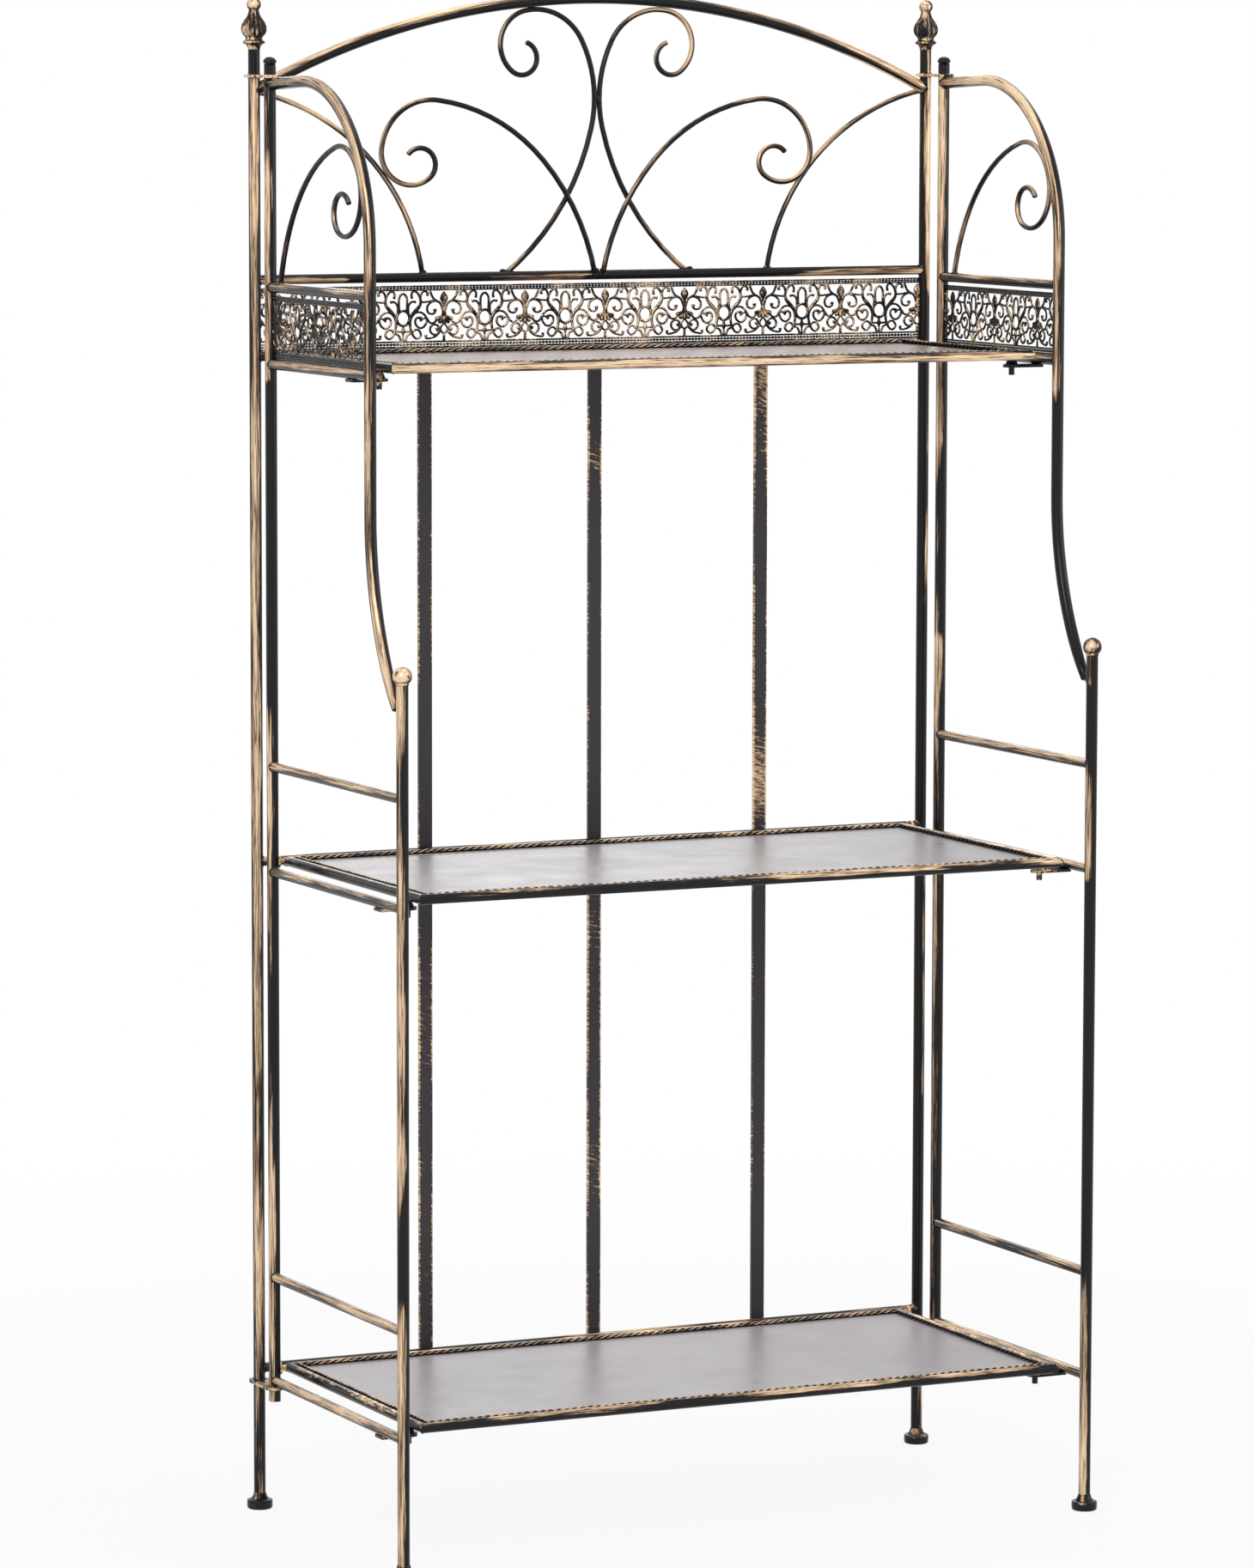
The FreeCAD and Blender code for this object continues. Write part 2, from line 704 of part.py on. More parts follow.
def pivotPin(name):
    """Left pivot pin of a shelf, standing out from the frame's back corner."""
    height = shelfHeights[name]
    start = Vector(-shelfHalfWidth, shelfAxisY, height)
    end = start - Vector(railRadius + pivotPinLength, 0, 0)
    side = rod(start + Vector(0, railRadius, 0), start - Vector(0, shelfDepth(name), 0), railRadius)
    return coped(rod(start, end, pinRadius), side)


def backFrame():
    """Every piece of the back frame, by name."""
    finialSeat = Vector(-halfWidth, backY, finialBase)
    lugs = [pivotLug(height) for height in shelfHeights.values()]
    return {
        "back_post_left": postTube(-halfWidth, backY, footHeight, finialBase),
        "back_post_right": postTube(halfWidth, backY, footHeight, finialBase),
        "back_finials": pair(finial(finialSeat)),
        "back_feet": pair(foot(Vector(-halfWidth, backY, 0))),
        "top_arch": topArch(),
        "back_upper_rail": backRail(upperRailHeight),
        "back_filigree": backFiligree(),
        "back_rail_top": backRail(shelfHeights["top"]),
        "back_rail_middle": backRail(shelfHeights["middle"]),
        "back_rail_bottom": backRail(shelfHeights["bottom"]),
        "back_slat_left": slat(-slatSpacing),
        "back_slat_centre": slat(0.0),
        "back_slat_right": slat(slatSpacing),
        "scrolls_centre": pair(centreScroll()),
        "scrolls_large": pair(largeScroll()),
        "scrolls_corner": pair(cornerScroll()),
        "hinge_plates_top": pair(hingePlate(plateTopHeight)),
        "hinge_plates_bottom": pair(hingePlate(plateBottomHeight)),
        "shelf_pivot_lugs": Part.makeCompound(lugs + [mirrored(lug) for lug in lugs]),
    }


def allPieces():
    """Every node of the rack, by its name."""
    pieces = backFrame()
    for name, piece in leftSide().items():
        pieces["left_" + name] = piece
        pieces["right_" + name] = mirrored(piece)
    for level in shelfHeights:
        for name, piece in shelf(level).items():
            pieces["shelf_" + level + "_" + name] = piece
    return pieces


os.makedirs("parts", exist_ok=True)
for node, piece in allPieces().items():
    piece.exportStep("parts/" + node + ".step")
    bounds = piece.BoundBox
    print(f"{node}: {len(piece.Solids)} solids, {piece.Volume:.0f} mm3, valid {piece.isValid()}, "
          f"z {bounds.ZMin:.1f} to {bounds.ZMax:.1f}")
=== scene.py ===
import bpy
import bmesh
import math
from mathutils import Matrix, Vector, noise


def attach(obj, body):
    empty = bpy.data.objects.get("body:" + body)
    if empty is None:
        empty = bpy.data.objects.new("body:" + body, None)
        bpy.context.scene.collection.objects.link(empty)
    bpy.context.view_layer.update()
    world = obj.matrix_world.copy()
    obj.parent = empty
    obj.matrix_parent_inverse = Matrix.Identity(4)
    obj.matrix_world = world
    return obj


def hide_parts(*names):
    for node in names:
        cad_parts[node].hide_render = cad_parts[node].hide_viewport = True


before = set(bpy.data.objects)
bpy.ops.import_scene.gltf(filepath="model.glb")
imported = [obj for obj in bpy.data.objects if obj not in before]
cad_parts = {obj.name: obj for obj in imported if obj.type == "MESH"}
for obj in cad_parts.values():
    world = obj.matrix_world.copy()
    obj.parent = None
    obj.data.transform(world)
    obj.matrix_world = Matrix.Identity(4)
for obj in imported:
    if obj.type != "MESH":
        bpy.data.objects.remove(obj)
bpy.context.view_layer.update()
print("stage: CAD frame loaded,", len(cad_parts), "nodes")

# Everything below is drawn in millimetres and shrunk to metres as each mesh is made.
millimetre = 0.001

rack = {
    "halfWidth": 381.0,
    "backY": 183.0,
    "uprightY": 142.0,
    "frontY": -183.0,
    "tubeRadius": 6.0,
    "railRadius": 5.0,
    "rodRadius": 2.75,
    "upperRail": 1257.0,
    "sideUpperRail": 1251.0,
    "neckReach": 248.9,
    "shelfHeights": {"top": 1180.0, "middle": 668.0, "bottom": 146.0},
    "sideRailDrop": 6.0,
    "guardRise": 101.0,
    "slatPitch": 192.0,
    "tubeSides": 28,
    "rodSides": 16,
}
sideFrames = ((-1, "left"), (1, "right"))


def bentLine(start, heading, runs, step):
    # straight runs (radius None, length) and tangent bends (radius, degrees) in a plane, as points.
    # step is the most degrees that a bend turns from one point to the next
    u, v = start
    angle = math.radians(heading)
    line = [(u, v)]
    for radius, amount in runs:
        if radius is None:
            u, v = u + amount * math.cos(angle), v + amount * math.sin(angle)
            line.append((u, v))
            continue
        turn = math.radians(amount)
        side = math.copysign(radius, amount)
        cu, cv = u - side * math.sin(angle), v + side * math.cos(angle)
        count = max(3, math.ceil(abs(amount) / step))
        for index in range(1, count + 1):
            a = angle + turn * index / count
            line.append((cu + side * math.sin(a), cv - side * math.cos(a)))
        angle += turn
        u, v = line[-1]
    return line


def smoothLine(points, steps):
    # a soft curve through points of any number of values, for hand-drawn strokes
    ends = [points[0]] + list(points) + [points[-1]]
    line = []
    for index in range(1, len(ends) - 2):
        a, b, c, d = ends[index - 1:index + 3]
        for part in range(steps):
            t = part / steps
            line.append(tuple(
                0.5 * (2 * q + (r - p) * t + (2 * p - 5 * q + 4 * r - s) * t * t
                       + (3 * q - p - 3 * r + s) * t ** 3)
                for p, q, r, s in zip(a, b, c, d)))
    line.append(tuple(points[-1]))
    return line


def circle(count):
    # the cosine and sine of evenly spaced steps round a circle
    steps = (2 * math.pi * index / count for index in range(count))
    return [(math.cos(a), math.sin(a)) for a in steps]


barEnd = {"reach": 0.22, "width": 0.72, "mapReach": 0.3}  # a bar's rounded end, as shares of its radius


def sweep(bm, line, radii, sides, closed=False, normal=None, finish=0):
    # a round bar along a line of points, with its length and girth in the "alongBar" map. normal is the
    # side where its girth starts, and finish is the slot of its material
    points = [Vector(point) for point in line]
    count = len(points)
    sizes = list(radii) if isinstance(radii, (list, tuple)) else [radii] * count
    uv = bm.loops.layers.uv.get("alongBar") or bm.loops.layers.uv.new("alongBar")
    tangents = []
    for index in range(count):
        if closed:
            step = points[(index + 1) % count] - points[index - 1]
        else:
            step = points[min(index + 1, count - 1)] - points[max(index - 1, 0)]
        tangents.append(step.normalized())
    across = Vector(normal) if normal else tangents[0].orthogonal()
    rings = []
    travelled = 0.0
    for index, (point, along, size) in enumerate(zip(points, tangents, sizes)):
        across = (across - along * across.dot(along)).normalized()
        up = along.cross(across)
        if index:
            travelled += (point - points[index - 1]).length
        rings.append((travelled, [point + (across * cos + up * sin) * size for cos, sin in circle(sides)]))
    if not closed:
        for end, sign in ((0, -1.0), (-1, 1.0)):
            size = sizes[end]
            centre = points[end] + tangents[end] * sign * size * barEnd["reach"]
            ring = [centre + (corner - points[end]) * barEnd["width"] for corner in rings[end][1]]
            extra = (rings[end][0] + sign * size * barEnd["mapReach"], ring)
            rings = [extra] + rings if end == 0 else rings + [extra]
    made = [[bm.verts.new(corner) for corner in ring] for _, ring in rings]
    lengths = [length for length, _ in rings]
    girth = 2 * math.pi * max(sizes)
    pairs = [(index, index + 1) for index in range(len(made) - 1)]
    if closed:
        pairs.append((len(made) - 1, 0))
        lengths.append(travelled + (points[0] - points[-1]).length)
    for first, second in pairs:
        near, far = made[first], made[second]
        low = lengths[first]
        high = lengths[second] if second else lengths[-1]
        for side in range(sides):
            after = (side + 1) % sides
            face = bm.faces.new((near[side], near[after], far[after], far[side]))
            face.material_index = finish
            marks = ((low, side), (low, side + 1), (high, side + 1), (high, side))
            for loop, (length, share) in zip(face.loops, marks):
                loop[uv].uv = (length * millimetre, share / sides * girth * millimetre)
    if not closed:
        for ring, order in ((made[0], -1), (made[-1], 1)):
            face = bm.faces.new(ring[::order])
            face.material_index = finish
            for loop in face.loops:
                loop[uv].uv = (0.0, 0.0)


ribRoundness = 0.7  # below 1 the flutes are narrow and the ribs between them are full


def turned(bm, centre, profile, sides, ribs=0):
    # a turned piece about a vertical axis: profile rows are height, radius and how deep its flutes are
    x, y, z = centre
    rings = []
    for height, radius, flute in profile:
        ring = []
        for side in range(sides):
            a = 2 * math.pi * side / sides
            cut = flute * abs(math.sin(ribs * a / 2)) ** ribRoundness if ribs else 0.0
            reach = radius - flute + cut
            ring.append(bm.verts.new((x + reach * math.cos(a), y + reach * math.sin(a), z + height)))
        rings.append(ring)
    for low, high in zip(rings, rings[1:]):
        for side in range(sides):
            after = (side + 1) % sides
            bm.faces.new((low[side], low[after], high[after], high[side]))
    bm.faces.new(rings[0][::-1])
    bm.faces.new(rings[-1])


def saddle(hostPoint, hostAxis, hostRadius, branchPoint, branchAxis, branchRadius, count):
    # the line where a bar meets the outside of the bar that carries it
    hostPoint, hostAxis = Vector(hostPoint), Vector(hostAxis).normalized()
    branchPoint, branchAxis = Vector(branchPoint), Vector(branchAxis).normalized()
    first = branchAxis.orthogonal().normalized()
    second = branchAxis.cross(first)
    line = []
    for cos, sin in circle(count):
        corner = branchPoint + (first * cos + second * sin) * branchRadius
        w = corner - hostPoint
        w -= hostAxis * w.dot(hostAxis)
        d = branchAxis - hostAxis * branchAxis.dot(hostAxis)
        a, b, c = d.dot(d), 2 * w.dot(d), w.dot(w) - hostRadius ** 2
        line.append(corner + branchAxis * ((math.sqrt(max(b * b - 4 * a * c, 0.0)) - b) / (2 * a)))
    return line


torch = {
    "ripple": 0.22,
    "rippleTurn": 2.4,
    "lump": 0.35,
    "lumpScale": 0.6,
    "beadSides": 6,
    "dropLump": 0.22,
    "dropScale": 1.7,
    "dropShift": 0.31,
}


def weldBead(bm, line, size):
    # a closed bead with the ripples that a welder's torch leaves
    radii = []
    for index, point in enumerate(line):
        ripple = torch["ripple"] * math.sin(torch["rippleTurn"] * index)
        radii.append(size * (1 + ripple + torch["lump"] * noise.noise(Vector(point) * torch["lumpScale"])))
    sweep(bm, line, radii, torch["beadSides"], closed=True)


def weldDrop(bm, centre, size, stretch):
    # a small uneven drop of weld
    made = bmesh.ops.create_icosphere(bm, subdivisions=2, radius=1.0)["verts"]
    centre = Vector(centre)
    for vert in made:
        spot = vert.co * torch["dropScale"] + centre * torch["dropShift"]
        lump = 1 + torch["dropLump"] * noise.noise(spot)
        vert.co = centre + Vector(part * scale * size * lump for part, scale in zip(vert.co, stretch))


def placed(name, data):
    # a new object in the scene
    item = bpy.data.objects.new(name, data)
    bpy.context.scene.collection.objects.link(item)
    return item


def placedMesh(name, bm, *materials):
    mesh = bpy.data.meshes.new(name)
    bm.to_mesh(mesh)
    bm.free()
    for material in materials:
        mesh.materials.append(material)
    return placed(name, mesh)


def finishPiece(name, bm, body, slotName, finish, replaced=(), *more):
    # turns a drawn shape into a piece that rides on its body and stands for the replaced nodes
    bmesh.ops.scale(bm, vec=(millimetre,) * 3, verts=bm.verts)
    for face in bm.faces:
        face.smooth = True
    piece = placedMesh(name, bm, *(finishes[look] for look in (finish, *more)))
    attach(piece, body)
    if replaced:
        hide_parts(*replaced)


finishColours = {
    "paint": (0.0060, 0.0058, 0.0072),
    "paintWorn": (0.0150, 0.0130, 0.0145),
    # the deep gold is that of thin rubbing, partly darkened as painted shade on faces turned away; the light
    # gold is a painted highlight on faces turned toward the rub's side
    "goldDeep": (0.240, 0.125, 0.066),
    "goldHighlight": (1.000, 0.740, 0.480),
}

sprayedPaint = {
    "peel": 900.0,  # dimples of the orange peel, per metre
    "clouds": 22.0,
    "cloudEdges": (0.3, 0.7),
    "roughness": (0.13, 0.24),
    "specular": 0.22,
}

rubbing = {
    # scale, detail and roughness of the noise
    "streakGrain": (1.0, 5.0, 0.66),
    "scuffGrain": (2.7, 3.0, 0.6),
    "streakWeight": 1.6,
    "edge": (0.92, 1.06),
    "scuffs": (0.37, 0.45),
    "scuffedShare": 0.15,
    "liveliness": 1.1,
    # the levels at which the gold goes from deep to light: past them it is a painted highlight
    "shadedToHighlight": (1.50, 1.92),
    "metallic": 0.45,
    "roughness": 0.14,  # over that of the paint
    "thickness": 0.6,
    "bump": 0.3,
}

enamel = {
    # one enamel, given its own colour on each shelf to match how that shelf shows under its light: the bottom
    # sheet is paler to offset the shade of the shelves above, and the top one darker and browner. The
    # differences are painted light
    "colours": {
        "top": (0.375, 0.300, 0.275), "middle": (0.500, 0.464, 0.484), "bottom": (0.545, 0.508, 0.532),
    },
    "shade": 0.84,  # the darkest cloud, as a share of the colour
    "peel": 1500.0,
    "brushing": (30.0, 420.0, 420.0),
    "brushWeight": 0.35,
    "clouds": 3.2,
    "cloudEdges": (0.45, 0.9),
    "brushRoughness": 0.32,
    "bump": 0.12,
}

bumpDepth = 0.0002


def newGroup(name, inputs, outputs):
    group = bpy.data.node_groups.new(name, "ShaderNodeTree")
    for label, kind, value in inputs:
        socket = group.interface.new_socket(name=label, in_out="INPUT", socket_type=kind)
        if value is not None:
            socket.default_value = value
    for label, kind in outputs:
        group.interface.new_socket(name=label, in_out="OUTPUT", socket_type=kind)
    return group, group.nodes.new("NodeGroupInput"), group.nodes.new("NodeGroupOutput")


def addNode(tree, kind, links=None, **settings):
    # links maps a socket to a value, or to the output that feeds it
    node = tree.nodes.new(kind)
    for key, value in settings.items():
        setattr(node, key, value)
    for socket, value in (links or {}).items():
        if isinstance(value, bpy.types.NodeSocket):
            tree.links.new(value, node.inputs[socket])
        else:
            node.inputs[socket].default_value = value
    return node


def newMaterial(name):
    # an empty material, its node tree and the places that its Texture Coordinate node gives
    material = bpy.data.materials.new(name)
    material.use_nodes = True
    tree = material.node_tree
    tree.nodes.clear()
    return material, tree, addNode(tree, "ShaderNodeTexCoord").outputs


def reckon(tree, operation, *values):
    return addNode(tree, "ShaderNodeMath", dict(enumerate(values)), operation=operation).outputs[0]


def spread(tree, value, low, high, least=0.0, most=1.0, shape="LINEAR"):
    # turns low to high into least to most, and no further
    return addNode(tree, "ShaderNodeMapRange", {
        "Value": value, "From Min": low, "From Max": high, "To Min": least, "To Max": most},
        interpolation_type=shape).outputs["Result"]


def unevenness(tree, place, scale, detail, roughness=0.5):
    return addNode(tree, "ShaderNodeTexNoise", {
        "Vector": place, "Scale": scale, "Detail": detail, "Roughness": roughness}).outputs["Fac"]


def mixColours(tree, share, first, second):
    # sockets 6 and 7 of a mix node are its two colours
    return addNode(tree, "ShaderNodeMix", {"Factor": share, 6: first, 7: second}, data_type="RGBA").outputs[2]


def opaque(colour, shade=1.0):
    return (*(part * shade for part in colour), 1.0)


def satin(tree, colour, roughness, height, bump, **more):
    # the shader and output that end a finish
    raised = addNode(tree, "ShaderNodeBump", {"Height": height, "Strength": bump, "Distance": bumpDepth})
    shader = addNode(tree, "ShaderNodeBsdfPrincipled", {
        "Base Color": colour, "Roughness": roughness, "Specular IOR Level": sprayedPaint["specular"],
        "Normal": raised.outputs["Normal"], **more})
    addNode(tree, "ShaderNodeOutputMaterial", {"Surface": shader.outputs["BSDF"]})


def paintGrainGroup():
    # the faint orange peel of sprayed paint
    group, given, result = newGroup(
        "paintGrain",
        [("Place", "NodeSocketVector", None), ("Scale", "NodeSocketFloat", sprayedPaint["peel"])],
        [("Height", "NodeSocketFloat"), ("Sheen", "NodeSocketFloat")])
    peel = unevenness(group, given.outputs["Place"], given.outputs["Scale"], 2.0)
    cloud = unevenness(group, given.outputs["Place"], sprayedPaint["clouds"], 3.0)
    sheen = spread(group, cloud, *sprayedPaint["cloudEdges"], *sprayedPaint["roughness"])
    group.links.new(peel, result.inputs["Height"])
    group.links.new(sheen, result.inputs["Sheen"])
    return group


def rubbedGoldGroup():
    # gold rubbed over black paint by hand: a strip down two opposite sides of a bar, which comes and goes
    # along it, is broken by streaks and is palest along its middle, where it faces Toward most: a painted
    # highlight, fading to deeper gold towards its edges partly as painted shade
    group, given, result = newGroup(
        "rubbedGold",
        [("Place", "NodeSocketVector", None), ("Streaks", "NodeSocketVector", None),
         ("Facing", "NodeSocketVector", None), ("Toward", "NodeSocketVector", (0.0, 0.0, 1.0)),
         ("Amount", "NodeSocketFloat", 0.3), ("Follow", "NodeSocketFloat", 0.9),
         ("Patches", "NodeSocketFloat", 6.0), ("Patchiness", "NodeSocketFloat", 1.6),
         ("Gold Deep", "NodeSocketColor", opaque(finishColours["goldDeep"])),
         ("Gold Highlight", "NodeSocketColor", opaque(finishColours["goldHighlight"]))],
        [("Mask", "NodeSocketFloat"), ("Gold", "NodeSocketColor")])
    asked = given.outputs
    streak = unevenness(group, asked["Streaks"], *rubbing["streakGrain"])
    fine = unevenness(group, asked["Streaks"], *rubbing["scuffGrain"])
    patch = unevenness(group, asked["Place"], asked["Patches"], 1.5)
    facing = addNode(group, "ShaderNodeVectorMath", {0: asked["Facing"], 1: asked["Toward"]},
                     operation="DOT_PRODUCT").outputs["Value"]
    level = reckon(group, "MULTIPLY_ADD", reckon(group, "ABSOLUTE", facing), asked["Follow"], asked["Amount"])
    for part, weight in ((streak, rubbing["streakWeight"]), (patch, asked["Patchiness"])):
        level = reckon(group, "MULTIPLY_ADD", reckon(group, "SUBTRACT", part, 0.5), weight, level)
    strip = spread(group, level, *rubbing["edge"], shape="SMOOTHSTEP")
    scuffs = spread(group, fine, *rubbing["scuffs"], rubbing["scuffedShare"])
    # painted highlight: the gold's tone follows how squarely the bar faces Toward, with fine flecks over it
    tone = spread(group, reckon(group, "MULTIPLY_ADD", fine, rubbing["liveliness"], level), *rubbing["shadedToHighlight"])
    group.links.new(reckon(group, "MULTIPLY", strip, scuffs), result.inputs["Mask"])
    group.links.new(mixColours(group, tone, asked["Gold Deep"], asked["Gold Highlight"]), result.inputs["Gold"])
    return group


paintGrain = paintGrainGroup()
rubbedGold = rubbedGoldGroup()


def rubbedPaint(name, amount, streaks, toward, follow=0.9, along="Object", patches=6.0, patchiness=1.6,
                slant=0.0, fade=1.0, changes=()):
    # black satin paint with rubbed gold. amount is how much gold there is, and toward the side that it is on.
    # streaks is how often the rubbing changes along x, y and z, per metre, and slant tilts them, in degrees.
    # each change is (axis, from, to, extra): the amount grows by extra between two distances along the axis.
    # fade is how much paler than on the tubes the black is
    material, tree, place = newMaterial(name)
    source = place["Object"]
    if along == "alongBar":
        source = addNode(tree, "ShaderNodeUVMap", uv_map=along).outputs["UV"]
    if slant:
        source = addNode(tree, "ShaderNodeVectorRotate", {"Vector": source, "Angle": math.radians(slant)},
                         rotation_type="Y_AXIS").outputs["Vector"]
    mapping = addNode(tree, "ShaderNodeMapping", {"Vector": source, "Scale": streaks}).outputs["Vector"]
    for axis, start, end, extra in changes:
        distance = addNode(tree, "ShaderNodeSeparateXYZ", {"Vector": place["Object"]}).outputs[axis[0]]
        if axis == "X slats":  # the distance from the middle of the nearest slat
            halfPitch = rack["slatPitch"] / 2 * millimetre
            distance = reckon(tree, "ABSOLUTE", reckon(tree, "WRAP", distance, halfPitch, -halfPitch))
        amount = reckon(tree, "ADD", spread(tree, distance, start, end, 0.0, extra), amount)
    rub = addNode(tree, "ShaderNodeGroup", {
        "Place": place["Object"], "Streaks": mapping, "Facing": place["Normal"],
        "Toward": Vector(toward).normalized(), "Amount": amount, "Follow": follow, "Patches": patches,
        "Patchiness": patchiness}, node_tree=rubbedGold).outputs
    grain = addNode(tree, "ShaderNodeGroup", {"Place": place["Object"]}, node_tree=paintGrain).outputs
    paint = mixColours(tree, grain["Height"], opaque(finishColours["paint"], fade),
                       opaque(finishColours["paintWorn"], fade))
    satin(tree, mixColours(tree, rub["Mask"], paint, rub["Gold"]),
          reckon(tree, "MULTIPLY_ADD", rub["Mask"], rubbing["roughness"], grain["Sheen"]),
          reckon(tree, "MULTIPLY_ADD", rub["Mask"], rubbing["thickness"], grain["Height"]), rubbing["bump"],
          Metallic=reckon(tree, "MULTIPLY", rub["Mask"], rubbing["metallic"]))
    return material


def sheetPaint(name, colour):
    # satin grey-brown enamel of the shelves, with soft clouds and fine brushing along the shelf
    material, tree, place = newMaterial(name)
    grain = addNode(tree, "ShaderNodeGroup", {"Place": place["Object"], "Scale": enamel["peel"]},
                    node_tree=paintGrain).outputs
    mapping = addNode(tree, "ShaderNodeMapping", {"Vector": place["Object"], "Scale": enamel["brushing"]})
    brushing = unevenness(tree, mapping.outputs["Vector"], 1.0, 4.0)
    cloud = unevenness(tree, place["Object"], enamel["clouds"], 3.0)
    blend = reckon(tree, "MULTIPLY_ADD", brushing, enamel["brushWeight"], cloud)
    clouded = mixColours(tree, spread(tree, blend, *enamel["cloudEdges"]), opaque(colour, enamel["shade"]),
                         opaque(colour))
    satin(tree, clouded, reckon(tree, "MULTIPLY_ADD", brushing, enamel["brushRoughness"], grain["Sheen"]),
          grain["Height"], enamel["bump"])
    return material


